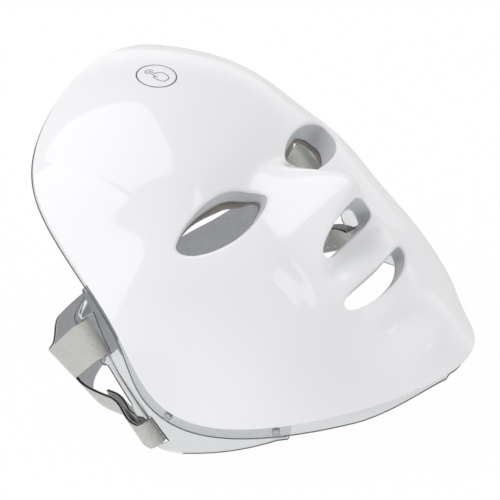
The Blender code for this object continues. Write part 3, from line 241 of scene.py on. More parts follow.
def relief(x, y):
    """Eye band, lips, chin, cheeks and nose, as heights over the dome."""
    across = np.abs(x)
    total = np.zeros_like(across)
    for height, middle, half_length, half_height in (EYE_BAND, UPPER_LIP, LOWER_LIP, CHIN):
        total = total + height * np.exp(-((x / half_length) ** 4) - ((y - middle) / half_height) ** 2)
    total = total + CHEEK_HEIGHT * np.exp(-((across - CHEEK_X) ** 2 + (y - CHEEK_Y) ** 2) / CHEEK_RADIUS**2)
    along = (NOSE_ROOT_Y - y) / (NOSE_ROOT_Y - NOSE_TIP_Y)
    along = 0.5 * (along + np.sqrt(along**2 + ROOT_BLEND))
    along = 0.5 * (along + 1.0 - np.sqrt((along - 1.0) ** 2 + TIP_BLEND))
    half_width = NOSE_ROOT_HALF_WIDTH + (NOSE_BASE_HALF_WIDTH - NOSE_ROOT_HALF_WIDTH) * along
    fall = 1.0 - (np.hypot(across, NOSE_RIDGE_RADIUS) - NOSE_RIDGE_RADIUS) / half_width
    fall = 0.5 * (fall + np.sqrt(fall**2 + FLANK_BLEND))
    below = np.maximum(0.0, NOSE_TIP_Y - y - NOSE_WING_DROP * (across / NOSTRIL_HALF_LENGTH) ** 2)
    rise = NOSE_HEIGHT * np.maximum(along, 0.0) ** NOSE_RISE_POWER
    return total + rise * fall / (1.0 + (below / NOSE_UNDERCUT) ** 4)


def slopes(height, x, y, step):
    """Slopes of a height formula along x and y."""
    return ((height(x + step, y) - height(x - step, y)) / (2 * step),
            (height(x, y + step) - height(x, y - step)) / (2 * step))


def place(points, depth=0.0, carried=None):
    """Face-frame points at a depth under the outer skin, which lies over the given (x, y) points."""
    x, y = np.asarray(points, float).T
    slope_x, slope_y = slopes(dome, x, y, SLOPE_STEP)
    drop = depth / np.sqrt(1.0 + slope_x**2 + slope_y**2)
    over_x, over_y = (x, y) if carried is None else np.asarray(carried, float).T
    height = dome(x, y) - drop + relief(over_x, over_y)
    return np.stack([x + slope_x * drop, y + slope_y * drop, height], axis=1)


def turn_to_world(vectors):
    x, y, z = np.asarray(vectors, float).T
    cos, sin = math.cos(PITCH), math.sin(PITCH)
    return np.stack([x, y * cos - z * sin, y * sin + z * cos], axis=1)


def to_world(points):
    """Face frame to the table's frame, in millimetres."""
    return turn_to_world(points) + (0.0, FRAME_SHIFT, EYE_LEVEL_HEIGHT)


def rim_loop(count, beyond=0.0):
    """The rim in the face's (x, y), moved out along the skin by a distance or a function of the angle."""
    angle = 2 * math.pi * (np.arange(count) + 0.5) / count
    folded = np.minimum(angle, 2 * math.pi - angle)
    radius = rim_value(RADIUS_TERMS, folded)
    slope = (CROWN_LEVEL - rim_value(LEVEL_TERMS, folded)) * DOME_POWER / radius
    moved = beyond(np.degrees(folded)) if callable(beyond) else beyond
    radius = radius + moved / np.hypot(1.0, slope)
    return np.stack([-radius * np.sin(angle), radius * np.cos(angle)], axis=1)


def oval(count, power):
    turn = 2 * math.pi * np.arange(count) / count
    across = np.sign(np.cos(turn)) * np.abs(np.cos(turn)) ** (2 / power)
    return across, np.sign(np.sin(turn)) * np.abs(np.sin(turn)) ** (2 / power)


def eye_outline(side):
    across, up = oval(HOLE_COUNT, 2.0)
    upper = EYE_UPPER_RISE * (1 - EYE_UPPER_LEAN * across)
    lower = EYE_LOWER_DROP * (1 + EYE_LOWER_LEAN * across)
    x = EYE_X + EYE_HALF_LENGTH * across
    loop = np.stack([side * x, EYE_Y + EYE_TILT * (x - EYE_X) + np.where(up > 0, upper, lower) * up], axis=1)
    return loop if side > 0 else loop[::-1]


def slot_outline(power, half_length, middle, bow, half_height):
    across, up = oval(HOLE_COUNT, power)
    return np.stack([half_length * across, middle + bow * across**2 + half_height * up], axis=1)


def outward(loop):
    along = np.roll(loop, -1, axis=0) - np.roll(loop, 1, axis=0)
    normal = np.stack([along[:, 1], -along[:, 0]], axis=1)
    return normal / np.linalg.norm(normal, axis=1, keepdims=True)


def offset(loop, distance):
    return loop + outward(loop) * np.reshape(distance, (-1, 1))


def lid(loop, upper_inset):
    """The foot of an opening's wall, drawn in under the brow."""
    normal = outward(loop)
    return loop - normal * (WALL_DRAFT + np.reshape(upper_inset, (-1, 1)) * smooth(normal[:, 1:2]))


def nose_share(loop):
    """1 at an eye's nose side, falling to 0 at its outer corner."""
    return smooth((LID_TURN_TO - (np.abs(loop[:, 0]) - EYE_X) / EYE_HALF_LENGTH) / LID_TURN_RUN)


def lid_inset(loop, inset):
    """The upper inset of an eye's wall: inwards at the nose side, outwards at the outer corner."""
    return (inset + EYE_LID_OUTSET) * nose_share(loop) - EYE_LID_OUTSET


HOLES = []  # outline, depth of the turned-in wall, upper inset of the wall's foot
for side, _ in SIDES:
    eye = eye_outline(side)
    eye_wall = EYE_WALL_OUTER - (EYE_WALL_OUTER - EYE_WALL) * nose_share(eye)
    HOLES.append((eye, eye_wall, lid_inset(eye, EYE_LID_INSET)))
nostril = slot_outline(power=2.3, half_length=NOSTRIL_HALF_LENGTH, middle=-39.3, bow=-2.6, half_height=5.4)
mouth = slot_outline(power=2.6, half_length=MOUTH_HALF_LENGTH, middle=-67.2, bow=2.6, half_height=5.1)
HOLES += [(nostril, NOSTRIL_WALL, 0.0), (mouth, MOUTH_WALL, 0.0)]


def inside(points, loop):
    x, y = points[:, :1], points[:, 1:]
    x0, y0 = loop.T
    x1, y1 = np.roll(loop, -1, axis=0).T
    crossing = (y0 > y) != (y1 > y)
    reach = x0 + (y - y0) * (x1 - x0) / np.where(y1 == y0, 1e-9, y1 - y0)
    return (crossing & (x < reach)).sum(axis=1) % 2 == 1


def inside_rim(points, rim, margin=0.0):
    angle = np.arctan2(-rim[:, 0], rim[:, 1]) % (2 * math.pi)
    order = np.argsort(angle)
    here = np.arctan2(-points[:, 0], points[:, 1]) % (2 * math.pi)
    reach = np.interp(here, angle[order], np.hypot(*rim.T)[order], period=2 * math.pi)
    return np.hypot(*points.T) < reach - margin


def cover(rim, holes, pitch):
    """Triangles over the rim loop less the holes, in the face's (x, y): the loops' points come first."""
    rows = np.arange(FIELD_LOW, FIELD_HIGH, pitch * ROW_STEP)
    columns = np.arange(-FIELD_HALF_WIDTH, FIELD_HALF_WIDTH, pitch)
    grid = np.array([(x + 0.5 * pitch * (k % 2), y) for k, y in enumerate(rows) for x in columns])
    grid = grid[inside_rim(grid, rim, RIM_CLEARANCE * pitch)]
    for hole in holes:
        near = np.linalg.norm(grid - hole.mean(axis=0), axis=1) < HOLE_REACH
        apart = np.full(len(grid), np.inf)
        apart[near] = np.linalg.norm(grid[near][:, None] - hole[None], axis=2).min(axis=1)
        grid = grid[(apart > HOLE_CLEARANCE * pitch) & ~inside(grid, hole)]
    points = np.concatenate([rim, *holes, grid])
    edges, start = [], 0
    for loop in (rim, *holes):
        edges += [(start + k, start + (k + 1) % len(loop)) for k in range(len(loop))]
        start += len(loop)
    found = delaunay_2d_cdt([Vector(p) for p in points], edges, [], 0, 1e-6)
    source = [ids[0] for ids in found[3]]
    triangles = np.array([[source[v] for v in face] for face in found[2]])
    middle = points[triangles].mean(axis=1)
    wanted = inside_rim(middle, rim)
    for hole in holes:
        wanted &= ~inside(middle, hole)
    return points, triangles[wanted]


class Sheets:
    """Rows and sheets of millimetre points gathered into one mesh, with a finish number for each face."""

    def __init__(self):
        self.points, self.faces, self.finishes = [], [], []

    def add(self, points):
        start = len(self.points)
        self.points += [tuple(p) for p in points]
        return list(range(start, start + len(points)))

    def face(self, corners, finish=0):
        self.faces.append(tuple(int(c) for c in corners))
        self.finishes.append(finish)

    def bridge(self, first, second, finish=0, closed=True):
        for k in range(len(first) if closed else len(first) - 1):
            after = (k + 1) % len(first)
            self.face((first[k], first[after], second[after], second[k]), finish)

    def barrel(self, rings, finish=0):
        """Rings joined one to the next, with both ends closed."""
        for first, second in zip(rings, rings[1:]):
            self.bridge(first, second, finish)
        self.face(rings[0], finish)
        self.face(rings[-1], finish)


def piece(name, sheets, looks, body="mask", stands_for=(), sharp=35.0):
    """A named piece from world millimetre points, riding on a body."""
    mesh = bpy.data.meshes.new(name)
    mesh.from_pydata([Vector(p) * 0.001 for p in sheets.points], [], sheets.faces)
    mesh.polygons.foreach_set("material_index", sheets.finishes)
    shaped = bmesh.new()
    shaped.from_mesh(mesh)
    bmesh.ops.recalc_face_normals(shaped, faces=shaped.faces)
    shaped.to_mesh(mesh)
    shaped.free()
    mesh.shade_smooth()
    mesh.set_sharp_from_angle(angle=math.radians(sharp))
    for look in looks if isinstance(looks, (list, tuple)) else [looks]:
        mesh.materials.append(look)
    made = placed(name, mesh)
    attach(made, body)
    if stands_for:
        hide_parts(*stands_for)
    return made


def noise(look, grain, detail, roughness=0.5):
    """Noise with grains of a size in mm."""
    where = node(look, "TexCoord")
    return node(look, "TexNoise", {
        "Vector": (where, "Object"), "Scale": 1000 / grain, "Detail": detail, "Roughness": roughness})


def blend(look, share, first, second):
    return node(look, "Mix", {0: share, 6: first, 7: second}, data_type="RGBA"), 2


def bumped(look, height, strength, millimetres, sunk=False):
    sizes = {"Height": height, "Strength": strength, "Distance": millimetres / 1000}
    return node(look, "Bump", sizes, invert=sunk), 0


def grained(name, grain, colours, finish, detail=2.0, cells=None, gloss=None, bump=None):
    """A material in two colours over noise, or over cells (distance, randomness), with a grain in mm.

    The grains may also vary the roughness (gloss, from and to) and stand out as a bump (strength, mm).
    """
    look = new_look(name)
    if cells:
        where = node(look, "TexCoord")
        inputs = {"Vector": (where, "Object"), "Scale": 1000 / grain, "Randomness": cells[1]}
        grains = node(look, "TexVoronoi", inputs, distance=cells[0])
    else:
        grains = noise(look, grain, detail)
    finish = {**finish, "Base Color": blend(look, (grains, 0), *map(paint, colours))}
    if gloss:
        finish["Roughness"] = graded(look, (grains, 0), (0.0, 1.0), gloss)
    if bump:
        finish["Normal"] = bumped(look, (grains, 0), *bump)
    return show(look, node(look, "BsdfPrincipled", finish))


# ABS is a dense white with a mirror-like skin: clear-edged reflections, with a slight ripple from the mould.
white_abs = new_look("polished_white_ABS")
clouds, ripple = noise(white_abs, 45.0, 2.0), noise(white_abs, 9.0, 1.0)
show(white_abs, node(white_abs, "BsdfPrincipled", {
    "Base Color": blend(white_abs, (clouds, 0), paint("f3f3f5"), paint("eff0f2")), "IOR": 1.54,
    "Roughness": graded(white_abs, (clouds, 0), (0.3, 0.7), (0.04, 0.06)),
    "Normal": bumped(white_abs, (ripple, 0), 0.05, 0.2)}))
# The walls of the openings keep the mould's satin, and their light grey is painted shade, so the openings
# read as deep.
satin_shaded_wall_abs = grained("satin_ABS_wall_painted_shade", 0.6, ("c3c5c9", "cbcdd1"), {"Roughness": 0.34, "IOR": 1.54},
                    detail=3.0, bump=(0.15, 0.05))

shell = Sheets()
half = SHELL_WALL / 2
rim_turns = np.linspace(0.0, math.pi, 9)
rim_rows = [(rim_loop(RIM_COUNT, -half * (1 - math.sin(t))), half * (1 - math.cos(t))) for t in rim_turns]
outer_holes = [offset(loop, EDGE_RADIUS) for loop, _, _ in HOLES]
outer_points, triangles = cover(rim_rows[0][0], outer_holes, SHELL_PITCH)
shell.add(to_world(place(outer_points)))
for corners in triangles:
    shell.face(corners)
inner_holes = [offset(loop, EDGE_RADIUS + SHELL_WALL) for loop, _, _ in HOLES]
inner_points, triangles = cover(rim_rows[-1][0], inner_holes, SHELL_INNER_PITCH)
inner_start = shell.add(to_world(place(inner_points, SHELL_WALL)))[0]
for corners in triangles:
    shell.face(corners + inner_start)
ring = list(range(RIM_COUNT))
for loop, depth in rim_rows[1:-1]:
    after = shell.add(to_world(place(loop, depth)))
    shell.bridge(ring, after)
    ring = after
shell.bridge(ring, list(range(inner_start, inner_start + RIM_COUNT)))
at = RIM_COUNT
for loop, wall, inset in HOLES:
    ring = list(range(at, at + HOLE_COUNT))
    rows = []
    for turn in np.linspace(0.0, math.pi / 2, EDGE_ROWS + 1)[1:]:
        drawn = offset(loop, EDGE_RADIUS * (1 - math.sin(turn)))
        rows.append((drawn, EDGE_RADIUS * (1 - math.cos(turn)), drawn))
    foot = lid(loop, inset)
    for share in np.linspace(0.0, 1.0, WALL_ROWS + 1)[1:]:
        rows.append((loop + (foot - loop) * share, EDGE_RADIUS + (wall - EDGE_RADIUS) * share, loop))
    rows.append((offset(foot, SHELL_WALL), wall, loop))
    for number, (drawn, depth, carried) in enumerate(rows):
        after = shell.add(to_world(place(drawn, depth, carried)))
        # Wall rows take the satin material, whose grey is painted shade.
        shell.bridge(ring, after, int(number >= EDGE_ROWS))
        ring = after
    shell.bridge(ring, list(range(inner_start + at, inner_start + at + HOLE_COUNT)))
    at += HOLE_COUNT
white_shell = piece("white_shell", shell, [white_abs, satin_shaded_wall_abs], stands_for=["outer_shell"],
                    sharp=50.0)
# The outer skin is shaded by its formula, so that reflections run evenly over the triangles.
slope_x, slope_y = slopes(lambda x, y: dome(x, y) + relief(x, y), *outer_points.T, SHADING_STEP)
tilt = np.stack([-slope_x, -slope_y, np.ones(len(slope_x))], axis=1)
normals = np.array([v.normal for v in white_shell.data.vertices])
normals[:len(tilt)] = turn_to_world(tilt / np.linalg.norm(tilt, axis=1, keepdims=True))
white_shell.data.normals_split_custom_set_from_vertices([Vector(n) for n in normals])

# Touch mark: a ring with a small pointing hand, pad printed in grey ink over the touch sensor.
# It is a film of ink a few hundredths of a millimetre thick on the shell.
MARK_AT = (-0.1, 69.5)
MARK_RING_HALF = (9.2, 8.1)
RING_WIDTH, LINE_WIDTH = 0.6, 0.42
INK_FILM, INK_FLAT = 0.03, 0.42  # mm, and from a line's middle in widths of the line


def ink_line(sheets, path, width, closed=False):
    """A printed line along face (x, y) points, whose edges run down into the shell."""
    path = np.asarray(path, float)
    ahead = np.roll(path, -1, axis=0) - np.roll(path, 1, axis=0)
    if not closed:
        ahead[0], ahead[-1] = path[1] - path[0], path[-1] - path[-2]
    side = np.stack([-ahead[:, 1], ahead[:, 0]], axis=1) / np.linalg.norm(ahead, axis=1, keepdims=True)
    section = ((-0.5, INK_FILM), (-INK_FLAT, -INK_FILM), (INK_FLAT, -INK_FILM), (0.5, INK_FILM))
    rows = [sheets.add(to_world(place(path + side * width * across, depth))) for across, depth in section]
    for first, second in zip(rows, rows[1:]):
        sheets.bridge(first, second, closed=closed)


# Pad ink is a thin even grey, a little duller than the plastic and thinner at its edges.
grey_ink = grained("grey_pad_ink", 0.4, ("4c4d50", "5e5f62"), {"Roughness": 0.35, "IOR": 1.48})
mark = Sheets()
turn = np.linspace(0.0, 2 * math.pi, 97)[:-1]
ring_line = np.stack([MARK_RING_HALF[0] * np.cos(turn), MARK_RING_HALF[1] * np.sin(turn)], axis=1)
ink_line(mark, ring_line + MARK_AT, RING_WIDTH, True)
hand = [(0.6, 1.3), (1.7, 1.35), (3.9, -0.75), (3.4, -2.9), (2.4, -4.95), (-1.3, -4.9), (-2.3, -3.9),
        (-2.4, -2.15), (-2.7, 0.0), (-1.9, 0.35), (-1.1, 0.0), (-0.7, -1.0)]
finger = [(0.6, 1.3), (0.75, 3.4), (0.05, 4.3), (-0.65, 3.5), (-0.6, 2.5), (-1.1, 0.0)]
arc = np.radians(np.linspace(-30.0, 205.0, 30))
ripple = np.stack([0.1 + 1.9 * np.cos(arc), 3.9 + 1.5 * np.sin(arc)], axis=1)
for stroke in (hand, finger, ripple):
    stroke = np.asarray(stroke, float)
    for _ in range(3):
        near, far = stroke[:-1], stroke[1:]
        cut_corners = np.stack([0.75 * near + 0.25 * far, 0.25 * near + 0.75 * far], axis=1)
        stroke = np.concatenate([stroke[:1], cut_corners.reshape(-1, 2), stroke[-1:]])
    ink_line(mark, stroke + MARK_AT, LINE_WIDTH)
piece("touch_mark", mark, grey_ink)

# Pod electronics: a tinned copper touch plate behind the mark, a fibreglass controller board, a pouch cell.
# They are stacked square to the forehead and held in the liner's pod.
POD = (0.0, 66.0)


def dress(name, look):
    """Gives a piece of the frame that shows as it is its material."""
    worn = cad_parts[name].data.materials
    worn.clear()
    worn.append(look)


# Tin is a soft bright grey metal, brushed unevenly.
tinned = grained("tinned_copper", 1.2, ("c9c7c0", "b9b6ae"), {"Metallic": 1.0}, detail=3.0,
                 gloss=(0.22, 0.42))
# Board mask is a dark glossy green in which the glass weave just shows.
fibreglass = grained("green_FR4_board", 1.6, ("1f5a37", "2b6f45"), {"Roughness": 0.32, "IOR": 1.5},
                     cells=("MANHATTAN", 1.0), bump=(0.25, 0.05))
# Pouch foil is silver and lightly crumpled.
pouch_foil = grained("aluminium_pouch_foil", 6.0, ("c4c6c9", "a9acb1"), {"Metallic": 0.85, "Roughness": 0.34},
                     detail=4.0, bump=(0.35, 0.4))
for name, look in (("touch_electrode", tinned), ("controller_board", fibreglass), ("battery", pouch_foil)):
    dress(name, look)

# LED strips: ten flexible white circuit ribbons under the shell, each with a row of square LED packages.
# A ribbon is polyimide with a white solder mask; every package has an epoxy lens over three chips.
STRIP_DEPTH = SHELL_WALL + 0.9
STRIP_THICKNESS = 0.4
BEAD_HEIGHT, BEAD_PITCH = 1.3, 11.0
LENS_RADIUS, LENS_RISE, LENS_SINK = 1.2, 0.4, 0.12
FOREHEAD_STRIP = (-40.0, 31.0), (40.0, 31.0), (0.0, 34.0)  # start, end and, on a bowed strip, the middle
CHIN_STRIP = (-21.0, -88.0), (21.0, -88.0), (0.0, -90.0)
CHEEK_STRIPS = {"upper": ((31.0, -22.5), (70.0, -18.5)), "lower": ((33.0, -42.0), (70.0, -40.0))}
TEMPLE_STRIP = (38, 0.72), (68, 0.73), (53, 0.73)  # degrees round the face and share of the way to the rim
JAW_STRIP = (131, 0.76), (160, 0.76), (146, 0.77)


def polar(degrees, share, side=1):
    angle = math.radians(degrees)
    radius = share * float(rim_value(RADIUS_TERMS, np.array(angle)))
    return np.array([side * radius * math.sin(angle), radius * math.cos(angle)])


def bead_places(start, end, through=None):
    """Face (x, y) of each package on a ribbon, and the ribbon's direction there."""
    start, end = np.array(start, float), np.array(end, float)
    middle = 0.5 * (start + end)
    bulge = (np.array(through) if through is not None else middle) - middle

    def at(share):
        share = np.asarray(share)[:, None]
        return start * (1 - share) + end * share + 4 * share * (1 - share) * bulge

    fine = at(np.linspace(0, 1, 60))
    count = max(2, int(np.linalg.norm(np.diff(fine, axis=0), axis=1).sum() // BEAD_PITCH))
    stops = (np.arange(count) + 0.5) / count
    return at(stops), at(stops + 0.01) - at(stops - 0.01)


def circle(count, first, second):
    turn = 2 * math.pi * np.arange(count) / count
    return np.outer(np.cos(turn), first) + np.outer(np.sin(turn), second)


# Solder mask is a slightly warm, satin white, with the copper lands just showing as a fine relief.
solder_mask = grained("white_solder_mask_polyimide", 2.2, ("f2f1ea", "e4e1d4"),
                      {"Roughness": 0.42, "IOR": 1.5}, cells=("CHEBYCHEV", 1.0), bump=(0.3, 0.06))
# The epoxy dome is glossy and faintly amber, mottled from pale to deeper amber.
lens_epoxy = grained("amber_epoxy_lens", 1.5, ("efe3b4", "d3b45f"),
                     {"Roughness": 0.12, "IOR": 1.52, "Coat Weight": 0.4}, detail=1.0)
strips = {"led_strip_forehead": FOREHEAD_STRIP, "led_strip_chin": CHIN_STRIP}
for side, word in SIDES:
    strips["led_strip_temple_" + word] = [polar(*station, side) for station in TEMPLE_STRIP]
    for level, ends in CHEEK_STRIPS.items():
        strips["led_strip_cheek_%s_%s" % (level, word)] = [(side * x, y) for x, y in ends]
    strips["led_strip_jaw_" + word] = [polar(*station, side) for station in JAW_STRIP]
for name, stations in strips.items():
    dress(name, solder_mask)
    lenses = Sheets()
    base = STRIP_DEPTH + STRIP_THICKNESS + BEAD_HEIGHT - LENS_SINK
    for middle, ahead in zip(*bead_places(*stations)):
        ahead = ahead / np.linalg.norm(ahead)
        outline = LENS_RADIUS * circle(16, ahead, np.array([-ahead[1], ahead[0]]))
        rings = []
        for turn in np.linspace(0.0, math.pi / 2, 5)[:-1]:
            dome_ring = place(middle + outline * math.cos(turn), base + LENS_RISE * math.sin(turn))
            rings.append(lenses.add(to_world(dome_ring)))
        lenses.barrel(rings)
    piece(name.replace("strip", "lenses"), lenses, lens_epoxy)

# Leads: thin PVC-covered wires along the shell's inside, from the pod to the strips and to the chin socket.
# They are single black cores 1.4 mm across, and their ends are soldered to the boards.
LEAD_RADIUS, LEAD_GAP = 0.7, 0.9
CHARGE_LEAD_FROM, CHARGE_LEAD_TO = (-8.2, -106.0), (-19.2, 70.0)
CHARGE_LEAD_SPAN, CHARGE_LEAD_SHARE = (165, 22), 0.865
LED_LEAD_FROM, LED_LEAD_SPAN, LED_LEAD_SHARE = (19.2, 60.0), (26, 150), 0.82


def tube(sheets, path, radius):
    """A round wire along world points, closed at both ends."""
    ahead = np.gradient(path, axis=0)
    rings = []
    for here, way in zip(path, ahead / np.linalg.norm(ahead, axis=1, keepdims=True)):
        first = np.cross(way, (0.0, 0.0, 1.0))
        first /= np.linalg.norm(first)
        rings.append(sheets.add(here + radius * circle(10, first, np.cross(way, first))))
    sheets.barrel(rings)


def along_rim(span, share, side, count):
    return [polar(d, share, side) for d in np.linspace(*span, count)]


def eased(route, count, rounds):
    """A route in a number of points, with its corners drawn round."""
    at = np.linspace(0, len(route) - 1, count)
    stops = np.arange(len(route))
    points = np.stack([np.interp(at, stops, column) for column in np.transpose(route)], axis=1)
    for _ in range(rounds):
        points[1:-1] = 0.25 * points[:-2] + 0.5 * points[1:-1] + 0.25 * points[2:]
    return points


# PVC cover is a dull black with a soft highlight along the wire.
black_pvc = grained("black_PVC_cover", 0.8, ("1b1b1c", "29292b"), {"IOR": 1.54}, gloss=(0.38, 0.55))
charge_route = along_rim(CHARGE_LEAD_SPAN, CHARGE_LEAD_SHARE, -1, 14)
routes = {"charge_lead": [CHARGE_LEAD_FROM, *charge_route, CHARGE_LEAD_TO]}
for side, word in SIDES:
    start = (side * LED_LEAD_FROM[0], LED_LEAD_FROM[1])
    routes["led_lead_" + word] = [start, *along_rim(LED_LEAD_SPAN, LED_LEAD_SHARE, side, 12)]
for name, route in routes.items():
    points = eased(eased(route, 30, 6), 117, 4)
    wire = Sheets()
    tube(wire, to_world(place(points, SHELL_WALL + LEAD_GAP + LEAD_RADIUS)), LEAD_RADIUS)
    piece(name + "_cover", wire, black_pvc, stands_for=[name])

# Charge socket: a pressed steel port let into the chin, soldered to a small fibreglass board behind it.
# The board carries the charging chip and a few chip resistors on its inner side.
CHIN_REACH = 118.0
PORT_RECESS, PORT_LENGTH = 1.2, 7.3
PORT_AT = (0.0, -CHIN_REACH + PORT_RECESS + PORT_LENGTH / 2)
CHARGE_BOARD_FRONT, CHARGE_BOARD_THICKNESS = 6.176, 0.8
CHARGE_BOARD_LENGTH = 17.0
BOARD_CHIPS = (  # x, y, width, length, height, finish
    (0.0, 9.0, 4.0, 4.0, 0.45, 0), (-4.6, 9.0, 1.0, 0.6, 0.3, 0), (-4.6, 10.6, 1.0, 0.6, 0.3, 0),
    (4.6, 9.2, 1.2, 2.0, 0.45, 0), (-3.4, 4.6, 1.0, 0.6, 0.3, 0), (3.2, 4.6, 1.6, 0.9, 0.4, 0),
    (-5.2, 12.4, 1.6, 1.2, 0.3, 1), (5.2, 12.4, 1.6, 1.2, 0.3, 1), (0.0, 13.0, 1.2, 0.8, 0.25, 1),
)
CHIP_EDGE, CHIP_SHOULDER = 0.12, 0.8

# Nickel plate is a bright metal with fine drawing marks.
pressed_steel = grained("nickel_plated_steel", 0.7, ("bfc0c2", "adaeb0"), {"Metallic": 1.0}, detail=3.0,
                        gloss=(0.18, 0.34))
dress("usb_port", pressed_steel)
dress("charge_board", fibreglass)
# Chip epoxy is a matt charcoal, speckled by its filler.
chip_epoxy = grained("black_chip_epoxy", 0.3, ("232325", "323235"), {"Roughness": 0.55, "IOR": 1.55})
middle = place([PORT_AT], CHARGE_BOARD_FRONT + CHARGE_BOARD_THICKNESS)[0]
normal = place([PORT_AT])[0] - middle
normal /= np.linalg.norm(normal)
across = np.array((1.0, 0.0, 0.0))
along = np.cross(normal, across)
chips = Sheets()
for at_x, at_y, wide, long, high, finish in BOARD_CHIPS:
    rings = []
    for grow, sink in ((0.0, 0.0), (0.0, CHIP_SHOULDER * high), (-CHIP_EDGE, high)):
        ring = [middle + across * (at_x + a * (0.5 * wide + grow)) + along * (at_y + b * (0.5 * long + grow))
                - normal * sink for a, b in SQUARE]
        rings.append(chips.add(to_world(ring)))
    chips.barrel(rings, finish)
piece("charge_board_chips", chips, [chip_epoxy, tinned])

# Inner liner: a clear polycarbonate shell behind the white one, vacuum formed, with a pod over the battery.
# Its lip stands past the white rim all round and deepens to a skirt along the jaw.
LINER_WALL = 1.2
LINER_RIM_GAP, LINER_CAVITY, LINER_SEAT_WIDTH = 0.6, 4.6, 10.0
LINER_NOSE_ROOM = 2.0
LINER_HOLE_GAP = 1.5
LINER_PITCH = 3.4
POD_HALF_LENGTH, POD_HALF_WIDTH, POD_DEPTH = 23.0, 17.0, 11.012
CHIN_POD_HALF_WIDTH, CHIN_POD_DEPTH = 12.0, 7.576
POD_MARGIN, POD_EDGE = 5.0, 6.0
LINER_LIP, JAW_SKIRT, CHIN_SKIRT = 2.6, 5.5, 1.4
JAW_FROM, JAW_RUN = 94.0, 16.0
CHIN_FROM, CHIN_RUN = 154.0, 18.0
NOTCH_FROM, NOTCH_RUN = 173.6, 1.8


def above_plane(points, centre):
    """Height of the outer skin over its tangent plane at the centre."""
    middle = place([centre])[0]
    return (place(points) - middle) @ (middle - place([centre], 1.0)[0])


def plateau(distance, half):
    return smooth((half + POD_EDGE - np.abs(distance)) / POD_EDGE)


def liner_depth(points):
    x, y = points.T
    radius = rim_value(RADIUS_TERMS, np.arctan2(np.abs(x), y))
    inward = np.clip((radius - np.hypot(x, y)) / LINER_SEAT_WIDTH, 0.0, 1.0)
    seat = SHELL_WALL + LINER_RIM_GAP
    depth = seat + (LINER_CAVITY - seat) * inward
    depth = depth + LINER_NOSE_ROOM * np.exp(-(x**2 + (y - NOSE_TIP_Y) ** 2) / NOSE_BASE_HALF_WIDTH**2)
    pod = plateau(x, POD_HALF_LENGTH) * plateau(y - POD[1], POD_HALF_WIDTH)
    pod_end = CHARGE_BOARD_LENGTH + POD_MARGIN + POD_EDGE - CHIN_REACH
    chin = plateau(x, CHIN_POD_HALF_WIDTH) * smooth((pod_end - y) / POD_EDGE)
    depth = depth + np.maximum(0.0, POD_DEPTH + above_plane(points, POD) - depth) * pod
    return depth + np.maximum(0.0, CHIN_POD_DEPTH + above_plane(points, PORT_AT) - depth) * chin


def skirt(degrees):
    chin = smooth((degrees - CHIN_FROM) / CHIN_RUN)
    jaw = smooth((degrees - JAW_FROM) / JAW_RUN) * (1.0 - chin)
    reach = LINER_LIP * (1 - jaw - chin) + JAW_SKIRT * jaw + CHIN_SKIRT * chin
    return reach * (1.0 - smooth((degrees - NOTCH_FROM) / NOTCH_RUN))


# Polycarbonate is water clear with a bright skin; its walls show by their edges and as grey lines at bends.
clear_pc = new_look("clear_polycarbonate")
haze = noise(clear_pc, 12.0, 3.0)
edge_on = node(clear_pc, "LayerWeight", {"Blend": 0.5})
edge_on = graded(clear_pc, (edge_on, "Facing"), (0.35, 0.85), (0.0, 1.0))
glassy = node(clear_pc, "BsdfPrincipled", {
    "Base Color": blend(clear_pc, edge_on, paint("e3e5e7"), paint("85888c")),
    "IOR": 1.5, "Transmission Weight": 1.0,
    "Roughness": graded(clear_pc, (haze, 0), (0.3, 0.7), (0.02, 0.07)),
    "Normal": bumped(clear_pc, (haze, 0), 0.12, 0.4)})
let_through = node(clear_pc, "BsdfTransparent", {"Color": paint("f2f2f2")})
rays = node(clear_pc, "LightPath")
show(clear_pc, node(clear_pc, "MixShader", {0: (rays, "Is Shadow Ray"), 1: (glassy, 0), 2: (let_through, 0)}))

# A trimmed edge is finely scored by the cutter, so it scatters as a grey line; its darker grey is also
# painted shade, for the shadow in the gap under the white shell's rim.
trimmed_shaded_pc = grained("trimmed_polycarbonate_edge_painted_shade", 1.5, ("5d6064", "868a8e"),
                     {"Roughness": 0.25, "IOR": 1.5, "Transmission Weight": 0.35}, detail=3.0)

liner = Sheets()
liner_holes = [offset(loop, SHELL_WALL + LINER_HOLE_GAP) for loop, _, _ in HOLES]
half = 0.5 * LINER_WALL
edge_turns = np.linspace(0.0, math.pi, 7)
edge_rims = [rim_loop(RIM_COUNT, lambda d, t=t: skirt(d) - half * (1 - math.sin(t))) for t in edge_turns]
flat_points, triangles = cover(edge_rims[0], liner_holes, LINER_PITCH)
depths = liner_depth(flat_points)
starts = []
for extra in (0.0, LINER_WALL):
    starts.append(liner.add(to_world(place(flat_points, depths + extra)))[0])
    for corners in triangles:
        liner.face(corners + starts[-1])
# The lip's rounded rows take the trimmed edge, whose dark grey is partly painted shade.
ring = list(range(starts[0], starts[0] + RIM_COUNT))
for loop, t in list(zip(edge_rims, edge_turns))[1:-1]:
    after = liner.add(to_world(place(loop, liner_depth(loop) + half * (1 - math.cos(t)))))
    liner.bridge(ring, after, 1)
    ring = after
liner.bridge(ring, list(range(starts[1], starts[1] + RIM_COUNT)), 1)
for k in range(len(liner_holes)):
    at = RIM_COUNT + k * HOLE_COUNT
    liner.bridge(*[range(start + at, start + at + HOLE_COUNT) for start in starts])
piece("clear_liner", liner, [clear_pc, trimmed_shaded_pc], stands_for=["inner_liner"], sharp=50.0)

# Eye guards: soft rings under the eye openings that keep light off the eyes, moulded in grey-brown silicone.
# They are glued to the foot of the shell's eye walls.
GUARD_WALL, GUARD_OVERLAP, GUARD_GAP = 2.2, 6.5, 0.6
GUARD_LID_INSET = 4.0
GUARD_ROUND, GUARD_NIP = 0.45, 0.13

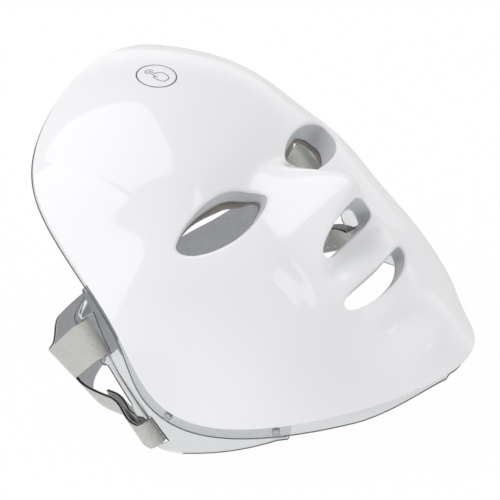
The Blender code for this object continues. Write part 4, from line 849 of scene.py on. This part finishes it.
# Silicone is a dull grey brown with a fine dusty bloom.
silicone = grained("grey_brown_silicone", 1.1, ("857d79", "989089"), {"Roughness": 0.6, "IOR": 1.42},
                   detail=4.0, bump=(0.25, 0.1))
corner = [(0.0, GUARD_ROUND), (GUARD_NIP, GUARD_NIP), (GUARD_ROUND, 0.0)]
front = corner + [(GUARD_OVERLAP - out, sink) for out, sink in corner[::-1]]
profile = front + [(out, GUARD_WALL - sink) for out, sink in front[::-1]]
for (loop, wall, _), (_, word) in zip(HOLES, SIDES):
    foot = lid(loop, lid_inset(loop, GUARD_LID_INSET))
    guard = Sheets()
    rings = [guard.add(to_world(place(offset(foot, out), wall + GUARD_GAP + sink, loop)))
             for out, sink in profile]
    for first, second in zip(rings, rings[1:] + rings[:1]):
        guard.bridge(first, second)
    piece("soft_eye_guard_" + word, guard, silicone, stands_for=["eye_guard_" + word], sharp=60.0)

# Side wings: clear polycarbonate brackets under the liner's rim at each temple, injection moulded.
# Each has two slotted bars for the strap, is riveted to the jaw skirt and stands on its lower edge.
WING_WALL, WING_GAP = 1.5, 0.9
WING_FROM, WING_TO = 76.0, 141.0
WING_INNER, WING_PAST_LIP = 5.0, 0.9
WING_LOBE_EDGE, WING_TIP, WING_TAPER = 5.0, 2.0, 17.0
WING_LEAST_REACH = 1.5
WING_EDGE = 0.3
WING_COLUMNS, WING_ROWS = 131, 19
UPPER_LOBE_TO, LOWER_LOBE_FROM, NOTCH_SHARE = 100.0, 104.0, 0.8
UPPER_FLARE, LOWER_FLARE = 0.19, 0.17
FLARE_FROM, FLARE_RUN = 92.0, 16.0
TABLE_SINK = 1.0
BAR_WIDTH, SLOT_WIDTH, SLOT_END_GAP = 4.0, 4.4, 0.7
SLOT_CUT_DEPTH, TABLE_CUT = 16.0, (400.0, 400.0, 30.0)
BAR_FLAT_PAST, BAR_FLAT_EASE, BAR_FLAT_SHORT = 7.0, 5.0, 0.5
AXIS_POINT = np.array([89.815, 36.947, 45.192])
AXIS_ANGLE = 0.669732
LOWER_TAIL_AT = -49.565
UP = np.array([0.0, math.sin(AXIS_ANGLE), math.cos(AXIS_ANGLE)])
BACK = np.array([0.0, math.cos(AXIS_ANGLE), -math.sin(AXIS_ANGLE)])
UPPER_TAIL_WIDTH, LOWER_TAIL_WIDTH = 18.0, 12.0


def wing_start(degrees, inward):
    """Middle of the wall under the liner, at a distance inward of the white rim, or beyond it if negative."""
    angle = np.radians(degrees)
    radius = rim_value(RADIUS_TERMS, angle)
    slope = (CROWN_LEVEL - rim_value(LEVEL_TERMS, angle)) * DOME_POWER / radius
    radius = radius - inward / np.hypot(1.0, slope)
    points = np.stack([radius * np.sin(angle), radius * np.cos(angle)], axis=1)
    return place(points, liner_depth(points) + LINER_WALL + WING_GAP + WING_WALL / 2)


def wing_follow(degrees):
    """How far beyond the white rim the wing follows the liner: past its lip, or past the jaw skirt."""
    return WING_PAST_LIP + LINER_LIP + (JAW_SKIRT - LINER_LIP) * smooth((degrees - JAW_FROM) / JAW_RUN)


def wing_free(degrees, drop):
    """Below the part that follows the liner, the sheet runs straight and flares."""
    flare = (UPPER_FLARE + (LOWER_FLARE - UPPER_FLARE) * smooth((degrees - FLARE_FROM) / FLARE_RUN)) * drop
    angle = np.radians(degrees)
    away = np.stack([flare * np.sin(angle), flare * np.cos(angle), -drop], axis=1)
    return wing_start(degrees, -wing_follow(degrees)) + away


def wing_reach(degrees):
    """How far the free sheet goes: to the bars' outer edges, the notch between the lobes, or the table."""
    near = to_world(wing_free(degrees, np.zeros_like(degrees)))
    far = to_world(wing_free(degrees, np.ones_like(degrees)))
    near_back, far_back = (near - AXIS_POINT) @ BACK, (far - AXIS_POINT) @ BACK
    to_bar = (BAR_WIDTH / 2 - near_back) / (far_back - near_back)
    reach = np.minimum(to_bar, (-TABLE_SINK - near[:, 2]) / (far[:, 2] - near[:, 2]))
    begin = smooth((degrees - WING_FROM) / WING_LOBE_EDGE)
    taper = np.clip((WING_TO - WING_TIP - degrees) / WING_TAPER, 0.0, 1.0)
    upper = begin * smooth((UPPER_LOBE_TO - degrees) / WING_LOBE_EDGE)
    lower = smooth((degrees - LOWER_LOBE_FROM) / WING_LOBE_EDGE) * taper
    web = NOTCH_SHARE * begin * taper
    return WING_LEAST_REACH + (reach - WING_LEAST_REACH) * np.maximum(np.maximum(upper, lower), web)


def axis_matrix(side):
    at = Vector((side * AXIS_POINT[0], AXIS_POINT[1], AXIS_POINT[2])) * 0.001
    return Matrix.Translation(at) @ Matrix.Rotation(-AXIS_ANGLE, 4, "X")


def cut_block(size, matrix):
    """A plain block that only cuts a piece and is removed after it."""
    shaped = bmesh.new()
    scale = Matrix.Diagonal((*[s * 0.001 for s in size], 1.0))
    bmesh.ops.create_cube(shaped, size=1.0, matrix=matrix @ scale)
    mesh = bpy.data.meshes.new("cut")
    shaped.to_mesh(mesh)
    shaped.free()
    return placed("cut", mesh)


for side, word in SIDES:
    degrees = np.linspace(WING_FROM, WING_TO, WING_COLUMNS)
    rows = [to_world(wing_start(degrees, WING_INNER * share)) for share in (1.0, 0.5, 0.0)]
    rows += [to_world(wing_start(degrees, -wing_follow(degrees) * share)) for share in (0.5, 1.0)]
    reach = wing_reach(degrees)
    for share in np.linspace(0, 1, WING_ROWS)[1:]:
        row = to_world(wing_free(degrees, reach * share))
        behind, above = (row - AXIS_POINT) @ BACK, (row - AXIS_POINT) @ UP
        flat = smooth((behind + BAR_WIDTH / 2 + SLOT_WIDTH) / (SLOT_WIDTH - BAR_FLAT_SHORT))
        flat = flat * smooth((UPPER_TAIL_WIDTH / 2 + BAR_FLAT_PAST - above) / BAR_FLAT_EASE)
        row[:, 0] += (AXIS_POINT[0] - row[:, 0]) * flat
        rows.append(row)
    sheet = Sheets()
    lines = [sheet.add(row * (side, 1.0, 1.0)) for row in rows]
    for first, second in zip(lines, lines[1:]):
        sheet.bridge(first, second, closed=False)
    wing = piece("clear_wing_" + word, sheet, [clear_pc, trimmed_shaded_pc],
                 stands_for=["side_wing_" + word], sharp=50.0)
    wall = wing.modifiers.new("wall", "SOLIDIFY")
    wall.thickness, wall.offset, wall.use_even_offset = WING_WALL * 0.001, 0.0, True
    # The wing's cut rims take the trimmed edge, whose dark grey is partly painted shade.
    wall.material_offset_rim = 1
    cutters = [cut_block(TABLE_CUT, Matrix.Translation((0.0, 0.0, -0.0005 * TABLE_CUT[2])))]
    for width, at in ((UPPER_TAIL_WIDTH, 0.0), (LOWER_TAIL_WIDTH, LOWER_TAIL_AT)):
        middle = Matrix.Translation(Vector((0.0, -(BAR_WIDTH + SLOT_WIDTH) / 2, at)) * 0.001)
        slot_size = (SLOT_CUT_DEPTH, SLOT_WIDTH, width + 2 * SLOT_END_GAP)
        cutters.append(cut_block(slot_size, axis_matrix(side) @ middle))
    for cutter in cutters:
        cut = wing.modifiers.new("cut", "BOOLEAN")
        cut.operation, cut.solver, cut.object = "DIFFERENCE", "EXACT", cutter
    edge = wing.modifiers.new("edge", "BEVEL")
    edge.width, edge.segments = WING_EDGE * 0.001, 2
    edge.limit_method, edge.angle_limit = "ANGLE", math.radians(50.0)
    bpy.context.view_layer.update()
    cut_mesh = bpy.data.meshes.new_from_object(wing.evaluated_get(bpy.context.evaluated_depsgraph_get()))
    wing.modifiers.clear()
    wing.data = cut_mesh
    wing.data.shade_smooth()
    wing.data.set_sharp_from_angle(angle=math.radians(40.0))
    for cutter in cutters:
        bpy.data.objects.remove(cutter, do_unlink=True)

# Rivets: two clear polycarbonate rivets on each side hold the wing to the jaw skirt.
# Their domed heads are formed by heat on both sides, which leaves them a little milky.
RIVETS_AT, RIVET_DROP = (116.0, 138.0), 3.0
RIVET_HEAD_RADIUS, RIVET_HEAD_HEIGHT, RIVET_SHANK_RADIUS = 1.8, 0.5, 1.2
RIVET_TOP_TURN = 1.45
SEAT_GAP = 0.3
RIVET_OUTER = WING_WALL / 2 + WING_GAP + LINER_WALL + SEAT_GAP
RIVET_INNER = -WING_WALL / 2 - SEAT_GAP

# Heat-formed polycarbonate is clear but milky, with a swirl from the melt.
formed_pc = grained("heat_formed_polycarbonate", 0.9, ("e2e4e6", "eff0f1"),
                    {"Roughness": 0.3, "IOR": 1.4, "Transmission Weight": 0.7}, bump=(0.2, 0.1))
head_turns = np.linspace(RIVET_TOP_TURN, 0.0, 7)
head = [(RIVET_HEAD_RADIUS * math.cos(t), RIVET_HEAD_HEIGHT * math.sin(t)) for t in head_turns]
profile = [(radius, RIVET_OUTER + rise) for radius, rise in head]
profile += [(RIVET_SHANK_RADIUS, RIVET_OUTER), (RIVET_SHANK_RADIUS, RIVET_INNER)]
profile += [(radius, RIVET_INNER - rise) for radius, rise in head[::-1]]
for side, word in SIDES:
    for number, degrees in enumerate(RIVETS_AT, 1):
        mirror = np.array((side, 1.0, 1.0))
        here, lower = [wing_start(np.array([degrees]), -drop)[0] * mirror
                       for drop in (RIVET_DROP, RIVET_DROP + 1.0)]
        near = wing_start(np.array([degrees - 1.0, degrees + 1.0]), -RIVET_DROP) * mirror
        normal = np.cross(near[1] - near[0], lower - here)
        normal *= np.sign(normal[0] * side) / np.linalg.norm(normal)
        first = np.cross(normal, (0.0, 0.0, 1.0))
        first /= np.linalg.norm(first)
        outline = circle(24, first, np.cross(normal, first))
        rivet = Sheets()
        rivet.barrel([rivet.add(to_world(here + normal * z + radius * outline)) for radius, z in profile])
        name = "rivet_%s_%d" % (word, number)
        piece("clear_" + name, rivet, formed_pc, stands_for=[name])

# Head strap: two halves of soft band, each split at the front into an upper and a lower tail.
# The band is black foam laminated between two grey loop cloths, die cut, so that its edges show black.
STRAP_WALL, CLOTH = 1.6, 0.3
STRAP_REACH, STRAP_END_GAP, STRAP_SIDE_SHARE = 45.0, 1.5, 0.9
STRAP_SQUARENESS = {-1: 5.0, 1: 2.1}
BACK_BAND_WIDTH = {-1: 31.0, 1: 23.0}
BAND_FLARE_FROM, BAND_FLARE_RUN, FLARE_BLEND = 7.0, 18.0, 4.0
STRAP_LEAN, STRAP_LEAN_FROM, STRAP_LEAN_RUN = 0.22, 1.0, 16.0
STRAP_CUTS = {"right": ((0.0658, 0.1565), 0.00473), "left": ((0.0646, 0.1439), 0.00379)}
TAIL_MERGE, TAIL_RETURN, TAIL_SPREAD = 34.0, 22.0, 10.0
TAIL_TAPER, TAIL_GAP = 0.5, 1.0
TAIL_TURN_GAP = 0.35
TAB_WALL, TAB_ROOM = 1.2, 0.6
TURN = math.hypot(BAR_WIDTH / 2, WING_WALL / 2) + TAIL_TURN_GAP + STRAP_WALL / 2
LAYER = STRAP_WALL + TAB_WALL + TAB_ROOM
TABLE_GAP, TABLE_TILT_SHARE = 0.35, 0.6


def outer_path(count, side):
    """The band's line round the head in the plane across the bars: inward and back from the axis."""
    power = 2 / STRAP_SQUARENESS[side]
    turn = np.linspace(0.0, math.pi / 2, 2000)
    across = (AXIS_POINT[0] + TURN) * np.cos(turn) ** power
    back = STRAP_REACH * np.sin(turn) ** power
    wanted = across > STRAP_END_GAP
    across, back = np.append(across[wanted], STRAP_END_GAP), np.append(back[wanted], STRAP_REACH)
    run = np.concatenate([[0.0], np.cumsum(np.hypot(np.diff(across), np.diff(back)))])
    stops = np.linspace(0.0, run[-1], count)
    return np.stack([AXIS_POINT[0] - np.interp(stops, run, across), np.interp(stops, run, back)], axis=1)


def path_side(path):
    ahead = np.gradient(path, axis=0)
    ahead /= np.linalg.norm(ahead, axis=1, keepdims=True)
    return np.stack([ahead[:, 1], -ahead[:, 0]], axis=1)


def table_edge(back):
    """Where the band's lower edge lies on the table, along the axis from the upper bar."""
    return TABLE_GAP - (AXIS_POINT[2] + back * BACK[2] - TABLE_TILT_SHARE * STRAP_WALL * abs(BACK[2])) / UP[2]


def lower_edges(back):
    low = np.maximum(LOWER_TAIL_AT - LOWER_TAIL_WIDTH / 2, table_edge(back))
    return low, low + LOWER_TAIL_WIDTH


def upper_edges(path, side):
    """The upper tail falls towards the table, then its top edge rises and runs level round the back."""
    back = np.maximum(path[:, 1], 0.0)
    merged = lower_edges(np.array([TAIL_MERGE]))[1][0] + TAIL_GAP
    share = np.clip(back / TAIL_MERGE, 0.0, 1.0)
    low = -UPPER_TAIL_WIDTH / 2 + (merged + UPPER_TAIL_WIDTH / 2) * share
    width = BACK_BAND_WIDTH[side]
    level = table_edge(back) + width
    falling = low + UPPER_TAIL_WIDTH - TAIL_TAPER * (BACK_BAND_WIDTH[-1] - width) * share
    flare = smooth((path[:, 0] - BAND_FLARE_FROM) / BAND_FLARE_RUN)
    return low, falling + 0.5 * flare * (level - falling + np.sqrt((falling - level) ** 2 + FLARE_BLEND))


def lean(path):
    past_bar = smooth((path[:, 1] - BAR_WIDTH / 2 - STRAP_LEAN_FROM) / STRAP_LEAN_RUN)
    return STRAP_LEAN * past_bar * (1 - smooth((path[:, 0] + TURN) / AXIS_POINT[0]))


def beside(side, back, inward_by):
    """Points of the band's own line at these distances back, moved inward, and how far each leans."""
    main = outer_path(600, side)
    inward = path_side(main)
    first = main[:, 1] < STRAP_SIDE_SHARE * STRAP_REACH
    pick = [np.interp(back, main[first, 1], column[first]) for column in (*main.T, *inward.T)]
    base = np.stack(pick[:2], axis=1)
    return base + np.stack(pick[2:], axis=1) * np.reshape(inward_by, (-1, 1)), lean(base)


def returned_tail(side, back):
    """The line of a tail's end, folded back inside the band past its hook tab."""
    return beside(side, back, LAYER + (2 * TURN - LAYER) * (1 - smooth(back / TAIL_SPREAD)))


def axis_world(side, points):
    matrix = np.array(axis_matrix(side))
    return np.asarray(points) @ matrix[:3, :3].T + matrix[:3, 3] * 1000


def band(name, side, path, leaning, edges, wall, looks, stands_for, whole=None, cloth=CLOTH):
    """Laminated band of even thickness between edges along the axis: cloth (0), core (1), lining (2)."""
    sheet = Sheets()
    shifts = (-wall / 2, -wall / 2 + cloth, wall / 2 - cloth, wall / 2)
    layers = []
    for shift in shifts:
        moved = path + path_side(path) * shift
        layer = []
        for edge in edges:
            across = moved[:, 0] + leaning * (UPPER_TAIL_WIDTH / 2 - edge)
            layer.append(sheet.add(axis_world(side, np.stack([-side * across, moved[:, 1], edge], axis=1))))
        layers.append(layer)
    border = {}
    for k in range(len(path) - 1):
        for line in range(len(edges) - 1):
            if whole is not None and not whole(k, line):
                continue
            cell = ((line, k), (line, k + 1), (line + 1, k + 1), (line + 1, k))
            for layer, finish in ((layers[0], 0), (layers[3], 2)):
                sheet.face([layer[a][b] for a, b in cell], finish)
            for first, second in zip(cell, cell[1:] + cell[:1]):
                key = tuple(sorted((first, second)))
                border[key] = border.get(key, 0) + 1
    for (first, second), count in border.items():
        if count == 1:
            for near, far, finish in ((0, 1, 0), (1, 2, 1), (2, 3, 2)):
                ends = ((near, first), (near, second), (far, second), (far, first))
                sheet.face([layers[depth][a][b] for depth, (a, b) in ends], finish)
    used = sorted({v for face in sheet.faces for v in face})
    renumber = {v: k for k, v in enumerate(used)}
    sheet.points = [sheet.points[v] for v in used]
    sheet.faces = [tuple(renumber[v] for v in face) for face in sheet.faces]
    body = "strap_half_right" if side < 0 else "strap_half_left"
    return piece(name, sheet, looks, body, stands_for, sharp=45.0)


def between(low, high, count):
    return [low + (high - low) * share for share in np.linspace(0, 1, count + 1)]


def loop_cloth(name, light, dark):
    """Knitted loop cloth: a brushed grey nap, with lighter fibre tips."""
    look = new_look(name)
    nap, rubbed = noise(look, 0.7, 4.0, 0.65), noise(look, 14.0, 2.0)
    tips = graded(look, (nap, 0), (0.28, 0.72), (0.0, 1.0))
    worn = graded(look, (rubbed, 0), (0.35, 0.75), (0.0, 0.15))
    fibres = blend(look, tips, paint(dark), paint(light))
    return show(look, node(look, "BsdfPrincipled", {
        "Base Color": blend(look, worn, fibres, paint(light)), "Roughness": 0.92, "Sheen Weight": 0.25,
        "Sheen Roughness": 0.5, "Specular IOR Level": 0.2, "Normal": bumped(look, (nap, 0), 0.7, 0.5)}))


outer_cloth = loop_cloth("grey_loop_cloth", "d2d3ce", "acada7")
inner_cloth = loop_cloth("grey_lining_cloth", "dcdee1", "b4b6ba")
# The foam core is a matt black with open cells along the cut.
foam_core = grained("black_foam_core", 0.5, ("161617", "333335"),
                    {"Roughness": 0.85, "Specular IOR Level": 0.2}, cells=("EUCLIDEAN", 1.0), bump=(0.6, 0.3))

for side, word in SIDES:
    main = outer_path(170, side)
    inner, leaning = returned_tail(side, np.linspace(TAIL_RETURN, 0.0, 30))
    turn = np.linspace(0.0, math.pi, 19)[1:-1]
    around = np.stack([TURN * np.cos(turn), -TURN * np.sin(turn)], axis=1)
    path = np.concatenate([inner, around, main])
    leaning = np.concatenate([leaning, np.zeros(len(around)), lean(main)])
    joined = len(inner) + len(around) + int(np.argmax(main[:, 1] > TAIL_MERGE))
    (low, top), upper = lower_edges(np.maximum(path[:, 1], 0.0)), upper_edges(path, side)
    edges = [*between(low, np.minimum(top, upper[0] - TAIL_GAP), 5), *between(*upper, 7)]
    band("head_strap_" + word, side, path, leaning, edges, STRAP_WALL,
                        [outer_cloth, foam_core, inner_cloth], ["strap_" + word],
                        lambda k, line, joined=joined: line != 5 or k >= joined)

# Tail stitching: a row of white thread along both edges of each tail's folded end.
# It is sewn in twisted polyester, and each stitch dips into the cloth at its ends.
STITCH_PITCH, STITCH_LENGTH, STITCH_HALF_WIDTH = 2.2, 1.5, 0.28
STITCH_RISE, STITCH_SINK, STITCH_INSET = 0.14, 0.04, 1.3
STITCH_END_GAP, STITCH_STOP, STITCH_FIRST = 0.8, 5.0, 0.4
STITCH_SHAPE = (  # share of the length, across, out of the cloth
    (0.0, 0.0, -STITCH_SINK), (0.5, -STITCH_HALF_WIDTH, 0.0), (0.5, STITCH_HALF_WIDTH, 0.0),
    (1.0, 0.0, -STITCH_SINK), (0.3, 0.0, STITCH_RISE), (0.7, 0.0, STITCH_RISE))

# Polyester thread is bright and slightly silky.
thread = grained("white_polyester_thread", 0.3, ("d9d9d6", "f4f4f1"),
                 {"Roughness": 0.55, "Sheen Weight": 0.2})
for side, word in SIDES:
    back = np.linspace(TAIL_RETURN - STITCH_END_GAP, STITCH_STOP, 60)
    inner, leaning = returned_tail(side, back)
    across = path_side(inner)
    run = np.concatenate([[0.0], np.cumsum(np.linalg.norm(np.diff(inner, axis=0), axis=1))])
    starts = np.arange(STITCH_FIRST, run[-1] - STITCH_LENGTH, STITCH_PITCH)
    stitches = Sheets()
    for low, high in (lower_edges(back), upper_edges(inner, side)):
        for edge in (low + STITCH_INSET, high - STITCH_INSET):
            rows = []
            for along, up, out in STITCH_SHAPE:
                at = starts + along * STITCH_LENGTH
                columns = (*inner.T, edge, leaning, *across.T)
                u, v, edge_at, tilt, nu, nv = [np.interp(at, run, column) for column in columns]
                lift = -(STRAP_WALL / 2 + out)
                height = edge_at + up
                u = u + nu * lift + tilt * (UPPER_TAIL_WIDTH / 2 - height)
                points = np.stack([-side * u, v + nv * lift, height], axis=1)
                rows.append(stitches.add(axis_world(side, points)))
            for a, b, c, d, e, f in zip(*rows):
                for face in ((a, b, e), (b, f, e), (b, d, f), (a, e, c), (c, e, f), (c, f, d)):
                    stitches.face(face)
    sewn = piece("tail_stitching_" + word, stitches, thread, "strap_half_" + word)
    flat, area = STRAP_CUTS[word]

# Hook tabs and rear patch: stiff hook tape sewn to the tails' ends and to the right half's back end.
# It is woven nylon with rows of tiny hooks.
TAB_FROM, TAB_SHORT, TAB_INSET, TAB_FACE = 11.0, 1.0, 1.0, 0.4
TAB_CUTS = {("upper", "right"): ((0.016, 0.0102), 0.000158), ("lower", "right"): ((0.01, 0.0127), 0.00012),
            ("upper", "left"): ((0.0148, 0.012), 0.000167), ("lower", "left"): ((0.0105, 0.015), 0.00015)}
PATCH_LENGTH, PATCH_HEIGHT, PATCH_INSET = 24.0, 25.0, 3.0
PATCH_WALL, PATCH_FACE, PATCH_GAP = 1.0, 0.3, 0.3

# Hook nylon is a grey stubble, light at the tips and dark between them.
hook_tape = grained("grey_nylon_hook_tape", 1.2, ("d2d3d0", "8d8f8c"), {"Roughness": 0.6, "IOR": 1.53},
                    cells=("EUCLIDEAN", 0.35), bump=(0.9, 0.6, True))
for side, word in SIDES:
    back = np.linspace(TAB_FROM, TAIL_RETURN - TAB_SHORT, 24)
    path, leaning = beside(side, back, LAYER / 2)
    for level, (low, high) in (("upper", upper_edges(path, side)), ("lower", lower_edges(back))):
        name = "hook_tab_%s_%s" % (level, word)
        edges = between(low + TAB_INSET, high - TAB_INSET, 4)
        tab = band("sewn_" + name, side, path, leaning, edges, TAB_WALL, [hook_tape] * 3, [name],
                   cloth=TAB_FACE)
        flat, area = TAB_CUTS[level, word]
main = outer_path(600, -1)
run = main[main[:, 0] > AXIS_POINT[0] - PATCH_LENGTH][::3]
path = run - path_side(run) * (0.5 * (STRAP_WALL + PATCH_WALL) + PATCH_GAP)
low = np.full(len(path), table_edge(np.array([STRAP_REACH]))[0] + PATCH_INSET)
patch = band("sewn_rear_hook_patch", -1, path, lean(run), between(low, low + PATCH_HEIGHT, 8), PATCH_WALL,
             [hook_tape] * 3, ["rear_hook_patch"], cloth=PATCH_FACE)
